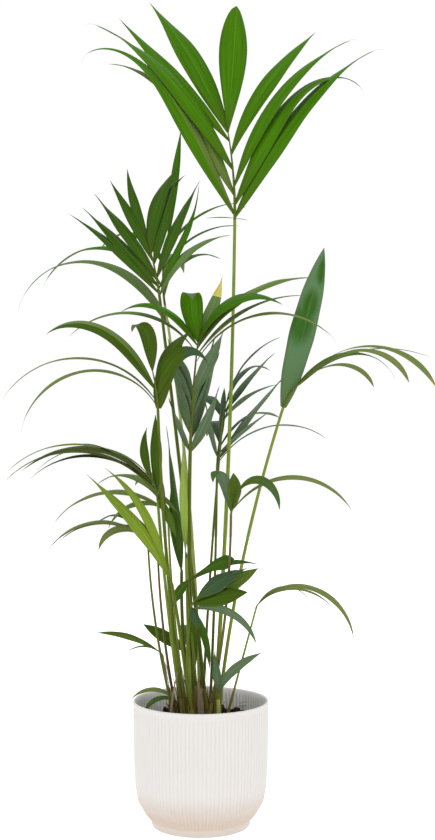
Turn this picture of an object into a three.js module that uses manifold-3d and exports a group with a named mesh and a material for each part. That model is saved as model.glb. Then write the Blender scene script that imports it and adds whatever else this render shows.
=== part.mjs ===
// A young kentia palm, Howea forsteriana, in a round ribbed plastic pot.
// Millimetres, +Z up. The origin is the centre of the pot's flat underside, and the
// front of the plant looks towards -Y.
//
// Each frond has two solids: a petiole that stands in the potting mix, and above it
// the rib with its leaflets fused on. A leaflet is a thin lance-shaped blade with a
// raised keel on a flat underside. It leaves the rib at one compass bearing, starts at
// one rise above the horizontal and droops from there towards its tip.

import * as THREE from "three";
import Module from "manifold-3d";
import { mergeVertices } from "three/addons/utils/BufferGeometryUtils.js";

// Pot: each pair is a height and a radius
const POT_OUTSIDE = [
  [0, 0], [0, 78], [2, 80], [9, 81],                              // flat underside and foot ring
  [22, 91], [41, 102], [65, 106.5], [102, 108.5], [163, 109.6],   // belly
  [199.6, 110], [201.8, 110.8], [203.6, 109.6],                   // rounded rim
];
const POT_INSIDE = [
  [203.6, 108], [199.6, 106.8], [163, 106.4], [102, 105.3], [66, 103.3],
  [43, 98.6], [25, 88], [12, 77], [3.2, 76.8], [3.2, 0],
];
const POT_SIDES = 44;

// Potting mix
const MIX_TOP = 170;
const MIX_EDGE_DROP = 4;      // how far its top falls away at the wall, and over what width
const MIX_EDGE_WIDTH = 12;
const MIX_WALL_GAP = 1;
const MIX_SIDES = 24;
const CLEARANCE = 0.35;       // under the mix, and under each petiole

// Fronds
const STALK_SIDES = 6;
const STALK_STEPS = 7;
const SHEATH_LENGTH = 0.12;   // share of a petiole that its swollen base takes
const SHEATH_SWELL = 1.35;
const RIB_SIDES = 5;
const RIB_STEP = 30;          // length of one facet along a rib
const RIB_TAPER = 0.45;       // share of its thickness that a rib loses by its tip
const COLLAR_GAP = 0.3;
const NEIGHBOUR_GAP = 0.4;    // a leaflet that would come closer to another piece is turned or left out
const TURNS = [0, 5, -5, 10, -10, 16, -16, 22, -22];

// Leaflets
const LEAF_STEP = 34;         // length of one facet along a leaflet, and the fewest facets
const LEAF_LEAST = 5;
const PATH_STEPS = 24;        // steps in which a leaflet's bend is added up
const LEAF_SHOULDER = 0.7;    // how fast a leaflet widens from its root
const LEAF_POINT = 1.0;       // how evenly it narrows to its tip
const LEAF_ROOT = 0.04;
const LEAF_THINNESS = 85;     // length over thickness at the root, and the least thickness
const LEAF_THINNEST = 1.8;
const LEAF_THINNING = 0.2;    // share of the thickness that is lost by the tip
const LEAF_END = 0.5;         // half width of the cut end of a tip

// Dry sheaths between the stems: foot x and y, lean to the right, height and width
const DRY_SHEATHS = [
  { foot: [1, -42], lean: -5, height: 72, width: 11 },
  { foot: [-48, -58], lean: 12, height: 90, width: 7 },
];
const DRY_THICKNESS = 1.2;
const DRY_CURL = 0.5;         // how deep a sheath is curled, as a share of its half width
const DRY_TAPER = 0.75;       // share of its width that is lost by the tip
const DRY_STATIONS = [0, 0.4, 0.75, 1];

// The fronds, from the tallest down to the smallest.
// foot: where the petiole leaves the mix, x and y
// bow: how far the petiole bows off the straight line, x and y
// thick: radius of the petiole above its base, and at the collar
// collar: where the rib begins; tip: where it ends
// Each fan is a run of leaflets. A list has a value for each leaflet, or the values
// at the run's ends, or one value for all of them.
// at: place along the rib, from 0 at the collar to 1 at the tip
// bearing: degrees round from +X, rise: degrees above level at the root
// droop: degrees lost towards the tip, ease: how late the droop sets in
// roll: degrees that the blade is turned about its length, easing to none at the tip
const FRONDS = [
  {
    name: "crown", foot: [21, -8], bow: [6, 0], thick: [4.6, 2.5],
    collar: [55, 10, 983], tip: [44, 10, 1124],
    fans: [
      {
        count: 5, at: [0.06, 0.22, 0.48, 0.82, 1.0], bearing: [200, 178, 192, 168, 158],
        rise: [65, 70, 65, 55, 66], droop: [112, 48, 38, 24, 18], ease: [4, 1.2, 1.6, 2.5, 2],
        length: [372, 350, 266, 284, 254], width: [44, 38, 34, 26, 40], roll: [-70, -75, -78, -80, -80],
      },
      {
        count: 4, at: [0.04, 0.17, 0.37, 0.6], bearing: [-22, 6, -10, 22],
        rise: [58, 74, 72, 81], droop: [130, 54, 56, 44], ease: [5, 1, 1.5, 0.9],
        length: [346, 338, 308, 290], width: [50, 36, 30, 24], roll: [70, 75, 78, 80],
      },
      {
        count: 1, at: [1], bearing: [-50],
        rise: [82], droop: [-2], ease: [1],
        length: [200], width: [48], roll: [12],
      },
    ],
  },
  {
    name: "left_high", foot: [10, 12], bow: [2, 0], thick: [4.4, 2.6],
    collar: [-67, 30, 854], tip: [-85, 40, 943],
    fans: [
      {
        count: 5, at: [0.12, 0.25, 0.45, 0.7, 1.0], bearing: [188, 184, 180, 172, 160],
        rise: [49, 50, 56, 65, 80], droop: [20, 10, 8, 8, 12], ease: [1.4],
        length: [196, 177, 168, 153, 142], width: [22, 26, 26, 20, 18], roll: [-66, -70, -75, -80, -80],
      },
      {
        count: 6, at: [0.08, 0.2, 0.4, 0.65, 0.85, 1.0], bearing: [-8, -4, 0, 5, 16, 20],
        rise: [72, 66, 72, 72, 92, 84], droop: [60, 8, 14, 12, 46, 50], ease: [1.2],
        length: [165, 190, 170, 155, 150, 138], width: [16, 16, 22, 24, 24, 18],
        roll: [60, 70, 72, 76, 76, 76],
      },
    ],
  },
  {
    name: "left_back", foot: [-2, 46], bow: [12, 8], thick: [4, 2.2],
    collar: [-62, 120, 850], tip: [-57, 138, 962],
    fans: [
      {
        count: 3, at: [0.08, 0.3, 0.6], bearing: [168, 160, 140],
        rise: [66, 62, 64], droop: [142, 122, 110], ease: [1.1],
        length: [315, 268, 210], width: [26, 22, 22], roll: [-25, -25, -20],
      },
      {
        count: 4, at: [0.12, 0.3, 0.55, 0.75], bearing: [78, 40, 8, 4],
        rise: [60, 60, 58, 66], droop: [96, 84, 66, 66], ease: [1.1],
        length: [250, 210, 185, 160], width: [24, 20, 16, 16], roll: [20],
      },
      {
        count: 1, at: [1], bearing: [20],
        rise: [84], droop: [2], ease: [1],
        length: [195], width: [15], roll: [80],
      },
    ],
  },
  {
    name: "centre", foot: [-8, -4], bow: [-5, 0], thick: [5, 3.2],
    collar: [-17, -25, 599], tip: [-4, -58, 784],
    fans: [
      {
        count: 4, at: [0.05, 0.2, 0.36, 0.5], bearing: [150, 160, 170, 180],
        rise: [66, 78, 74, 68], droop: [2, 4, 4, 0], ease: [1],
        length: [96, 126, 112, 96], width: [20, 22, 24, 22], roll: [70],
      },
      {
        count: 4, at: [0.05, 0.16, 0.34, 0.55], bearing: [10, 30, 20, 0],
        rise: [62, 74, 76, 66], droop: [-8, 10, 6, 4], ease: [1],
        length: [124, 150, 138, 112], width: [22, 26, 26, 22], roll: [-70],
      },
      {
        count: 2, at: [0.9, 0.97], bearing: [192, 200],
        rise: [54, 56], droop: [96, 98], ease: [1, 1.6],
        length: [236, 150], width: [18, 30], roll: [-30, -40],
      },
      {
        count: 4, at: [0.82, 0.88, 0.94, 1.0], bearing: [-21, -11, -17, -26],
        rise: [54, 55, 58, 68], droop: [98, 60, 66, 104], ease: [1.1],
        length: [264, 204, 236, 190], width: [16, 18, 22, 28], roll: [25, 30, 35, 45],
      },
      {
        count: 1, at: [1], bearing: [262],
        rise: [88], droop: [165], ease: [2.6],
        length: [112], width: [36], roll: [0],
      },
      {
        count: 1, at: [0.97], bearing: [10],
        rise: [72], droop: [-4], ease: [1],
        length: [116], width: [24], roll: [70],
      },
    ],
  },
  {
    name: "left_mid", foot: [-26, -26], bow: [-6, 0], thick: [4, 2.4],
    collar: [-66, -85, 674], tip: [-75, -98, 742],
    fans: [
      {
        count: 4, at: [0.08, 0.2, 0.5, 0.95], bearing: [196, 182, 200, 225],
        rise: [62, 57, 78, 86], droop: [130, 112, 116, 170], ease: [0.95, 1, 1, 2.6],
        length: [276, 280, 222, 108], width: [16, 16, 26, 28], roll: [-15, -15, -35, -20],
      },
      {
        count: 2, at: [0.08, 0.4], bearing: [-22, -34],
        rise: [80, 84], droop: [150, 100], ease: [2.2, 2.5],
        length: [180, 124], width: [34, 28], roll: [40, 50],
      },
    ],
  },
  {
    name: "left_low", foot: [-28, 0], bow: [-4, 0], thick: [4, 2.3],
    collar: [-68, -50, 533], tip: [-84, -60, 581],
    fans: [
      {
        count: 4, at: [0.14, 0.35, 0.56, 0.9], bearing: [182, 196, 173, 190],
        rise: [56, 54, 52, 44], droop: [104, 104, 98, 60], ease: [1, 1, 1, 1.4],
        length: [276, 262, 250, 116], width: [20, 25, 18, 13], roll: [-20, -35, -15, -10],
      },
      {
        count: 2, at: [0.2, 0.72], bearing: [50, 130],
        rise: [86, 90], droop: [-2, 10], ease: [1],
        length: [122, 78], width: [26, 20], roll: [-80, -80],
      },
      {
        count: 2, at: [0.14, 0.24], bearing: [-30, -10],
        rise: [-20, -34], droop: [30, 20], ease: [1],
        length: [51, 44], width: [14, 12], roll: [40, 40],
      },
    ],
  },
  {
    name: "young", foot: [-14, -44], bow: [2, 0], thick: [3.6, 2.4],
    collar: [-44, -90, 403], tip: [-50, -93, 415],
    fans: [
      {
        count: 2, at: [0.3, 1], bearing: [186, 171],
        rise: [58, 68], droop: [16, 24], ease: [1],
        length: [222, 214], width: [28, 20], roll: [-75, -80],
      },
    ],
  },
  {
    name: "low_left_a", foot: [-40, -18], bow: [-8, 0], thick: [3.2, 1.8],
    collar: [-84, -40, 462], tip: [-90, -44, 474],
    fans: [
      {
        count: 2, at: [0.3, 1], bearing: [186, 205],
        rise: [52, 50], droop: [106, 140], ease: [1, 1.2],
        length: [190, 104], width: [16, 18], roll: [-20, -35],
      },
    ],
  },
  {
    name: "low_left_b", foot: [-38, 14], bow: [-6, 0], thick: [3.4, 2],
    collar: [-70, 0, 445], tip: [-80, 4, 462],
    fans: [
      {
        count: 3, at: [0.25, 0.6, 1], bearing: [171, 138, 195],
        rise: [50, 56, 62], droop: [98, 96, 110], ease: [1],
        length: [186, 160, 92], width: [16, 18, 16], roll: [-20],
      },
    ],
  },
  {
    name: "low_left_c", foot: [-22, 28], bow: [-6, 0], thick: [3.4, 2],
    collar: [-54, 36, 500], tip: [-64, 42, 520],
    fans: [
      {
        count: 4, at: [0.2, 0.45, 0.75, 1], bearing: [172, 188, 110, 150],
        rise: [44, 36, 54, 60], droop: [98, 110, 96, 100], ease: [1],
        length: [216, 118, 190, 150], width: [18, 18, 20, 18], roll: [-25],
      },
    ],
  },
  {
    name: "right_high", foot: [27, -24], bow: [-14, 0], thick: [4.2, 2.5],
    collar: [134, 20, 678], tip: [168, 24, 724],
    fans: [
      {
        count: 1, at: [0.14], bearing: [14],
        rise: [76], droop: [-1], ease: [1],
        length: [266], width: [54], roll: [84],
      },
      {
        count: 5, at: [0.45, 0.6, 0.78, 0.9, 1.0], bearing: [-20, -30, 24, 10, -8],
        rise: [46, 44, 43, 44, 48], droop: [116, 116, 106, 66, 112], ease: [1.8, 1.8, 1.7, 0.9, 1.1],
        length: [160, 222, 220, 232, 258], width: [18, 18, 20, 12, 22], roll: [35, 35, 30, 20, 30],
      },
    ],
  },
  {
    name: "mid_back", foot: [14, 34], bow: [2, 4], thick: [3.6, 2.2],
    collar: [26, 95, 569], tip: [50, 118, 689],
    fans: [
      {
        count: 4, at: [0.08, 0.2, 0.4, 0.7], bearing: [121, 152, 99, 117],
        rise: [84, 76, 48, 50], droop: [2, 8, 96, 100], ease: [1],
        length: [132, 128, 200, 210], width: [24, 22, 22, 22], roll: [70, 60, -20, -20],
      },
      {
        count: 4, at: [0.1, 0.16, 0.24, 0.4], bearing: [8, 14, -8, 46],
        rise: [54, 58, 46, 62], droop: [92, 18, 14, 90], ease: [1.1],
        length: [214, 166, 112, 200], width: [14, 25, 14, 20], roll: [-15, -45, -30, -20],
      },
    ],
  },
  {
    name: "mid_back_b", foot: [2, 30], bow: [-3, 2], thick: [3.2, 2],
    collar: [35, 92, 648], tip: [48, 104, 703],
    fans: [
      {
        count: 4, at: [0.12, 0.35, 0.65, 1.0], bearing: [-4, 8, 60, 6],
        rise: [58, 60, 58, 74], droop: [50, 22, 80, 56], ease: [1],
        length: [112, 134, 180, 132], width: [16, 20, 20, 13], roll: [-30, -50, -20, -20],
      },
    ],
  },
  {
    name: "mid_front", foot: [10, -30], bow: [9, -4], thick: [3.6, 2.2],
    collar: [48, -95, 513], tip: [54, -100, 527],
    fans: [
      {
        count: 1, at: [0.35], bearing: [238],
        rise: [90], droop: [178], ease: [1.7],
        length: [90], width: [30], roll: [0],
      },
      {
        count: 1, at: [1], bearing: [300],
        rise: [84], droop: [20], ease: [1],
        length: [60], width: [24], roll: [10],
      },
      {
        count: 2, at: [0.4, 0.7], bearing: [-12, -30],
        rise: [58, 80], droop: [108, 172], ease: [1.1],
        length: [224, 146], width: [16, 22], roll: [20, 30],
      },
    ],
  },
  {
    name: "low_front", foot: [-8, -56], bow: [-8, -6], thick: [3.6, 2.4],
    collar: [-16, -78, 359], tip: [-4, -92, 383],
    fans: [
      {
        count: 4, at: [0.15, 0.5, 0.75, 1.0], bearing: [-24, -31, -8, -6],
        rise: [32, 20, 34, 44], droop: [92, 22, 10, 26], ease: [1],
        length: [132, 92, 106, 96], width: [20, 24, 28, 30], roll: [-30, 40, -55, 60],
      },
      {
        count: 1, at: [0.3], bearing: [215],
        rise: [-30], droop: [40], ease: [1],
        length: [42], width: [11], roll: [60],
      },
    ],
  },
  {
    name: "low_centre", foot: [-3, -22], bow: [0, 0], thick: [3.4, 2.2],
    collar: [-20, -58, 400], tip: [-16, -61, 412],
    fans: [
      {
        count: 2, at: [0.4, 1], bearing: [-4, -14],
        rise: [34, 52], droop: [34, 54], ease: [1],
        length: [92, 88], width: [18, 24], roll: [-50, 60],
      },
      {
        count: 1, at: [0.6], bearing: [198],
        rise: [-22], droop: [44], ease: [1],
        length: [50], width: [15], roll: [-60],
      },
    ],
  },
  {
    name: "low_right", foot: [40, -12], bow: [0, 0], thick: [2.6, 1.7],
    collar: [89, -40, 360], tip: [94, -42, 368],
    fans: [
      {
        count: 3, at: [0.3, 0.6, 1], bearing: [-18, 33, -3],
        rise: [50, 55, 53], droop: [104, 104, 134], ease: [1],
        length: [146, 120, 200], width: [13, 14, 18], roll: [20],
      },
    ],
  },
  {
    name: "small_left", foot: [-44, -42], bow: [0, 0], thick: [2.6, 1.7],
    collar: [-60, -50, 284], tip: [-65, -52, 291],
    fans: [
      {
        count: 2, at: [0.4, 1], bearing: [200, 184],
        rise: [34, 42], droop: [60, 40], ease: [1],
        length: [64, 108], width: [11, 15], roll: [-20, -30],
      },
    ],
  },
  {
    name: "small_back", foot: [-20, 58], bow: [0, 0], thick: [3, 2],
    collar: [-20, 46, 272], tip: [-24, 47, 280],
    fans: [
      {
        count: 2, at: [0.4, 1], bearing: [100, 176],
        rise: [50, 46], droop: [60, 24], ease: [1],
        length: [90, 94], width: [18, 22], roll: [-30, -60],
      },
    ],
  },
  {
    name: "small_right", foot: [30, -55], bow: [0, 0], thick: [4.6, 3.2],
    collar: [28, -56, 216], tip: [28, -56, 228],
    fans: [
      {
        count: 2, at: [0.5, 1], bearing: [-6, 170],
        rise: [68, 88], droop: [52, 6], ease: [1],
        length: [106, 64], width: [18, 20], roll: [-50, 70],
      },
    ],
  },
  {
    name: "rim_left", foot: [-50, -26], bow: [0, 0], thick: [2.4, 1.6],
    collar: [-38, -32, 204], tip: [-41, -32, 210],
    fans: [
      {
        count: 2, at: [0.4, 1], bearing: [192, 184],
        rise: [46, 52], droop: [108, 92], ease: [1],
        length: [64, 88], width: [14, 14], roll: [-20],
      },
    ],
  },
  {
    name: "inner_dark", foot: [-12, 14], bow: [-6, 0], thick: [3.2, 2.6],
    collar: [-31, -10, 412], tip: [-33, -10, 424],
    fans: [
      {
        count: 2, at: [0.3, 1], bearing: [170, 200],
        rise: [82, 86], droop: [-4, 4], ease: [1],
        length: [150, 228], width: [22, 17], roll: [-70, -80],
      },
    ],
  },
  {
    name: "inner_pale", foot: [-16, -32], bow: [0, 0], thick: [3, 2.6],
    collar: [-23, -36, 440], tip: [-24, -36, 450],
    fans: [
      {
        count: 1, at: [1], bearing: [185],
        rise: [88], droop: [-1], ease: [1],
        length: [168], width: [15], roll: [-84],
      },
    ],
  },
];

const GREEN = new THREE.MeshStandardMaterial({ color: 0x3f6f1c, roughness: 0.5 });
const YOUNG_GREEN = new THREE.MeshStandardMaterial({ color: 0x86a23a, roughness: 0.5 });
const STALK_GREEN = new THREE.MeshStandardMaterial({ color: 0x7c8f3c, roughness: 0.45 });
const DRY_BROWN = new THREE.MeshStandardMaterial({ color: 0x8f7d63, roughness: 0.85 });
const SOIL_BROWN = new THREE.MeshStandardMaterial({ color: 0x2f211d, roughness: 0.95 });
const POT_WHITE = new THREE.MeshStandardMaterial({ color: 0xece8e4, roughness: 0.55 });
const YOUNG_FRONDS = ["young", "inner_pale"];

const wasm = await Module();
wasm.setup();

const group = new THREE.Group();
const radians = THREE.MathUtils.degToRad;
const point = (values) => new THREE.Vector3(values[0], values[1], values[2]);

// The value of leaflet `index` in a list that has one value, a few, or one for each.
function pick(values, index, count) {
  if (values.length === 1 || count === 1) return values[0];
  const place = (index / (count - 1)) * (values.length - 1);
  const low = Math.min(Math.floor(place), values.length - 2);
  return values[low] + (values[low + 1] - values[low]) * (place - low);
}

// A closed body through rings of points: each ring joined to the next, both ends capped.
// All patches are split the same way across the ring, from its first point to its last, so
// the flat underside of a twisted blade bends as its top does and doesn't cross it.
function skin(rings) {
  const sides = rings[0].length;
  const positions = rings.flat().flatMap((corner) => [corner.x, corner.y, corner.z]);
  const faces = [];
  for (let ring = 0; ring < rings.length - 1; ring += 1) {
    for (let side = 0; side < sides - 1; side += 1) {
      const here = ring * sides + side;
      faces.push(here, here + 1, here + 1 + sides);
      faces.push(here, here + 1 + sides, here + sides);
    }
    const start = ring * sides;
    const end = start + sides - 1;
    faces.push(end, start, end + sides);
    faces.push(start, start + sides, end + sides);
  }
  const last = (rings.length - 1) * sides;
  for (let side = 1; side < sides - 1; side += 1) {
    faces.push(0, side + 1, side);
    faces.push(last, last + side, last + side + 1);
  }
  const geometry = new THREE.BufferGeometry();
  geometry.setAttribute("position", new THREE.Float32BufferAttribute(positions, 3));
  geometry.setIndex(faces);
  return geometry;
}

function toSolid(geometry) {
  const bare = geometry.clone();
  bare.deleteAttribute("normal");
  bare.deleteAttribute("uv");
  const merged = mergeVertices(bare, 1e-4);
  return new wasm.Manifold(new wasm.Mesh({
    numProp: 3,
    vertProperties: new Float32Array(merged.attributes.position.array),
    triVerts: new Uint32Array(merged.index.array),
  }));
}

function toGeometry(solid) {
  const mesh = solid.getMesh();
  const geometry = new THREE.BufferGeometry();
  geometry.setAttribute("position", new THREE.BufferAttribute(mesh.vertProperties, 3));
  geometry.setIndex(new THREE.BufferAttribute(mesh.triVerts, 1));
  geometry.computeVertexNormals();
  return geometry;
}

function place(name, geometry, material) {
  const mesh = new THREE.Mesh(geometry, material);
  mesh.name = name;
  group.add(mesh);
}

// A ring of points about a centre, square to a direction.
function roundRing(centre, direction, radius, sides) {
  const across = new THREE.Vector3(0, 1, 0).cross(direction).normalize();
  const forward = direction.clone().cross(across);
  const ring = [];
  for (let side = 0; side < sides; side += 1) {
    const turn = (side / sides) * 2 * Math.PI;
    ring.push(centre.clone()
      .addScaledVector(across, radius * Math.cos(turn))
      .addScaledVector(forward, radius * Math.sin(turn)));
  }
  return ring;
}

function tube(curve, steps, sides, radiusAt, from = 0, to = 1) {
  const rings = [];
  for (let step = 0; step <= steps; step += 1) {
    const t = from + (to - from) * (step / steps);
    rings.push(roundRing(curve.getPoint(t), curve.getTangent(t), radiusAt(t), sides));
  }
  return skin(rings);
}

// A quadratic curve goes half as far as its handle, so the handle has twice the bow.
function petioleCurve(frond) {
  const foot = new THREE.Vector3(frond.foot[0], frond.foot[1], MIX_TOP);
  const collar = point(frond.collar);
  const middle = foot.clone().lerp(collar, 0.5);
  middle.x += 2 * frond.bow[0];
  middle.y += 2 * frond.bow[1];
  return new THREE.QuadraticBezierCurve3(foot, middle, collar);
}

// The rib goes on from the petiole in its direction and bends over to its own tip.
function ribCurve(frond, petiole) {
  const collar = point(frond.collar);
  const tip = point(frond.tip);
  const handle = collar.clone().addScaledVector(petiole.getTangent(1), collar.distanceTo(tip) / 2);
  return new THREE.QuadraticBezierCurve3(collar, handle, tip);
}

function petioleSolid(frond, curve) {
  const [base, top] = frond.thick;
  const radiusAt = (t) => {
    const swell = Math.max(0, 1 - t / SHEATH_LENGTH);
    return (base + (top - base) * t) * (1 + (SHEATH_SWELL - 1) * swell);
  };
  const length = curve.getLength();
  const rings = [];
  for (let step = 0; step <= STALK_STEPS; step += 1) {
    const t = (step / STALK_STEPS) * (1 - COLLAR_GAP / length);
    const direction = step === 0 ? new THREE.Vector3(0, 0, 1) : curve.getTangent(t);
    rings.push(roundRing(curve.getPoint(t), direction, radiusAt(t), STALK_SIDES));
  }
  rings[0].forEach((corner) => { corner.z = MIX_TOP + CLEARANCE; });
  return toSolid(skin(rings));
}

// Width along a leaflet, as a share of its greatest: a narrow root, full at two fifths,
// and a long drawn-out point.
function leafWidth(s) {
  const shape = (share) => (share + LEAF_ROOT) ** LEAF_SHOULDER * (1 - share) ** LEAF_POINT;
  const fullest = (LEAF_SHOULDER - LEAF_ROOT * LEAF_POINT) / (LEAF_SHOULDER + LEAF_POINT);
  return shape(s) / shape(fullest);
}

function leafSolid(root, leaf) {
  const bearing = radians(leaf.bearing);
  const facets = Math.max(LEAF_LEAST, Math.round(leaf.length / LEAF_STEP));
  const stations = new Set(
    Array.from({ length: facets + 1 }, (_, facet) => Math.round((facet * PATH_STEPS) / facets)));
  const side = new THREE.Vector3(-Math.sin(bearing), Math.cos(bearing), 0);
  const thickness = Math.max(LEAF_THINNEST, leaf.length / LEAF_THINNESS);
  const centre = root.clone();
  const rings = [];
  for (let step = 0; step <= PATH_STEPS; step += 1) {
    const s = step / PATH_STEPS;
    const climb = radians(leaf.rise - leaf.droop * s ** leaf.ease);
    const along = new THREE.Vector3(
      Math.cos(climb) * Math.cos(bearing), Math.cos(climb) * Math.sin(bearing), Math.sin(climb));
    const upper = along.clone().cross(side);
    const roll = radians(leaf.roll * (1 - s * s));
    const across = side.clone().multiplyScalar(Math.cos(roll)).addScaledVector(upper, Math.sin(roll));
    const keel = along.clone().cross(across);
    if (stations.has(step)) {
      const half = Math.max(LEAF_END, (leaf.width / 2) * leafWidth(s));
      const thick = thickness * (1 - LEAF_THINNING * s);
      rings.push([
        centre.clone().addScaledVector(across, half).addScaledVector(keel, -thick / 3),
        centre.clone().addScaledVector(keel, (thick * 2) / 3),
        centre.clone().addScaledVector(across, -half).addScaledVector(keel, -thick / 3),
      ]);
    }
    centre.addScaledVector(along, leaf.length / PATH_STEPS);
  }
  return toSolid(skin(rings));
}

// A piece with the box around it, so that only near pieces are measured.
const boxed = (solid) => ({ solid, box: solid.boundingBox() });

function near(one, other, gap) {
  return [0, 1, 2].every((axis) => one.box.min[axis] - gap < other.box.max[axis]
    && other.box.min[axis] - gap < one.box.max[axis]);
}

function isClear(piece, others, gap) {
  return others.every((other) => !near(piece, other, gap)
    || piece.solid.minGap(other.solid, gap * 2) >= gap);
}

// The first of a few small turns of a leaflet that keeps it clear of its neighbours.
function fitLeaf(rib, leaf, others) {
  const root = rib.getPoint(leaf.at);
  for (const turn of TURNS) {
    const piece = boxed(leafSolid(root, { ...leaf, bearing: leaf.bearing + turn }));
    if (isClear(piece, others, NEIGHBOUR_GAP)) return piece;
  }
  return null;
}

function leavesOf(fan) {
  return Array.from({ length: fan.count }, (_, index) => {
    const value = (list) => pick(list, index, fan.count);
    return {
      at: value(fan.at), bearing: value(fan.bearing), rise: value(fan.rise),
      droop: value(fan.droop), ease: value(fan.ease), length: value(fan.length),
      width: value(fan.width), roll: value(fan.roll),
    };
  });
}

// One body: a hollow that crossing leaflets seal is filled, and its skin is dropped.
function fuse(solids) {
  const shells = wasm.Manifold.union(solids).decompose();
  return shells.reduce((largest, shell) => (shell.volume() > largest.volume() ? shell : largest));
}

function ribSolid(frond, curve) {
  const start = frond.thick[1];
  const steps = Math.max(2, Math.round(curve.getLength() / RIB_STEP));
  return toSolid(tube(curve, steps, RIB_SIDES, (t) => start * (1 - RIB_TAPER * t)));
}

function potGeometry() {
  return lathe([...POT_OUTSIDE, ...POT_INSIDE], POT_SIDES);
}

// The mix follows the inside of the pot up to its own top.
function mixGeometry() {
  const wall = POT_INSIDE.filter(([height]) => height < MIX_TOP).reverse();
  const profile = wall.map(([height, radius]) => (
    [height + CLEARANCE, Math.max(0, radius - MIX_WALL_GAP)]));
  const edge = profile[profile.length - 1][1];
  profile.push([MIX_TOP - MIX_EDGE_DROP, edge], [MIX_TOP, edge - MIX_EDGE_WIDTH], [MIX_TOP, 0]);
  return lathe(profile, MIX_SIDES);
}

// LatheGeometry turns about Y, so the result is stood up on Z.
function lathe(profile, sides) {
  const outline = profile.map(([height, radius]) => new THREE.Vector2(radius, height));
  const geometry = new THREE.LatheGeometry(outline, sides);
  geometry.rotateX(Math.PI / 2);
  return toGeometry(toSolid(geometry));
}

function drySheath(sheath) {
  const [x, y] = sheath.foot;
  const rings = DRY_STATIONS.map((s) => {
    const half = (sheath.width / 2) * (1 - DRY_TAPER * s * s);
    const height = MIX_TOP + CLEARANCE + sheath.height * s;
    const centre = new THREE.Vector3(x + sheath.lean * s * s, y, height);
    return [
      centre.clone().add(new THREE.Vector3(half, 0, 0)),
      centre.clone().add(new THREE.Vector3(0, half * DRY_CURL, 0)),
      centre.clone().add(new THREE.Vector3(-half, 0, 0)),
      centre.clone().add(new THREE.Vector3(0, half * DRY_CURL - DRY_THICKNESS, 0)),
    ];
  });
  return toGeometry(toSolid(skin(rings)));
}

place("pot", potGeometry(), POT_WHITE);
place("potting_mix", mixGeometry(), SOIL_BROWN);

const placed = [];
const stems = FRONDS.map((frond) => {
  const curve = petioleCurve(frond);
  const solid = petioleSolid(frond, curve);
  placed.push(boxed(solid));
  place(`petiole_${frond.name}`, toGeometry(solid), STALK_GREEN);
  return { frond, rib: ribCurve(frond, curve) };
});

stems.forEach(({ frond, rib }) => {
  const leaves = frond.fans.flatMap(leavesOf).map((leaf) => fitLeaf(rib, leaf, placed)).filter(Boolean);
  const pieces = [boxed(ribSolid(frond, rib)), ...leaves];
  const blade = fuse(pieces.map((piece) => piece.solid));
  const material = YOUNG_FRONDS.includes(frond.name) ? YOUNG_GREEN : GREEN;
  place(`frond_${frond.name}`, toGeometry(blade), material);
  placed.push(...pieces);
});

DRY_SHEATHS.forEach((sheath, index) => {
  place(`dry_sheath_${index + 1}`, drySheath(sheath), DRY_BROWN);
});

export default group;
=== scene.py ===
"""A young kentia palm in a ribbed plastic pot: its finished looks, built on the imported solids.

Sizes are in millimetres in the tables and in metres in Blender. +Z is up, the origin is the
centre of the pot's flat underside, and the front of the plant looks towards -Y.
"""
import math

import bpy
import numpy as np
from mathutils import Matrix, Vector, noise


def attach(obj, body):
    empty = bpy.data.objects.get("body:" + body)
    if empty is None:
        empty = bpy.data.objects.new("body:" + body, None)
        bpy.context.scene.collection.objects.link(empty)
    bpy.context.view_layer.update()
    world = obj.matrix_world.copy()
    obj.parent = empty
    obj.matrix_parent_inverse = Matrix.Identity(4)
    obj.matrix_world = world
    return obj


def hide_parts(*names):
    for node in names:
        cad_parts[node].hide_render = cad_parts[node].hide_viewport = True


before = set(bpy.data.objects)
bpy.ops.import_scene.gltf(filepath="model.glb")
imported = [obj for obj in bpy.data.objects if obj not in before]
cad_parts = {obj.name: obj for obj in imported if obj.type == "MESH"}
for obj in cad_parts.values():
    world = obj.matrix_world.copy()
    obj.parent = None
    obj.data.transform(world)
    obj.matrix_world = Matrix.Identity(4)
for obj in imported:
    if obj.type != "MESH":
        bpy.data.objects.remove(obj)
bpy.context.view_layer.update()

MM = 0.001
SEED = 11
rng = np.random.default_rng(SEED)
# Strands have a sequence of their own, so that a frond may have more or fewer of them while
# everything else stays where it is
strand_rng = np.random.default_rng(SEED + 1)

UV_LENGTH = 100           # length of leaf, stalk or wall to one unit of its map

# Pot, as the solid has it: each pair is a height and a radius
POT_OUTSIDE = [
    (0, 0), (0, 78), (2, 80), (9, 81), (22, 91), (41, 102), (65, 106.5), (102, 108.5),
    (163, 109.6), (199.6, 110), (201.8, 110.8), (203.6, 109.6),
]
POT_INSIDE = [
    (203.6, 108), (199.6, 106.8), (163, 106.4), (102, 105.3), (66, 103.3),
    (43, 98.6), (25, 88), (12, 77), (3.2, 76.8), (3.2, 0),
]
WALL, LINING = range(2)   # numbers of the pot's materials
FLOOR_RINGS = (2, 60)     # radii of the mesh rings in the pot's underside and floor
WALL_STEP = 3             # length of one mesh step up the wall's outside, and inside
LINING_STEP = 5
WALL_SMOOTHING = 2        # how many times its corners are softened by a step
RIBS = 102                # ribs round the wall, 6.7 mm apart
RIB_COLUMNS = 6           # mesh columns to a rib
RIB_DEPTH = 1.3           # how far a rib stands out of its groove
RIB_FLATNESS = 0.6        # power of the sine in its section: less is flatter, in narrower grooves
RIB_LEVEL = 0.65          # share of its depth that lies below the plain wall's surface
RIBS_FROM, RIBS_TO = 12, 197   # heights where the ribs end
RIBS_FADE = 5             # height over which they run out at both ends
CAST_FROM, CAST_TO = 18, 78    # heights over which the warm cast low on the wall fades out
FOOT_FROM, FOOT_TO = 8, 15     # and over which it sets in, above the foot ring
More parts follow.
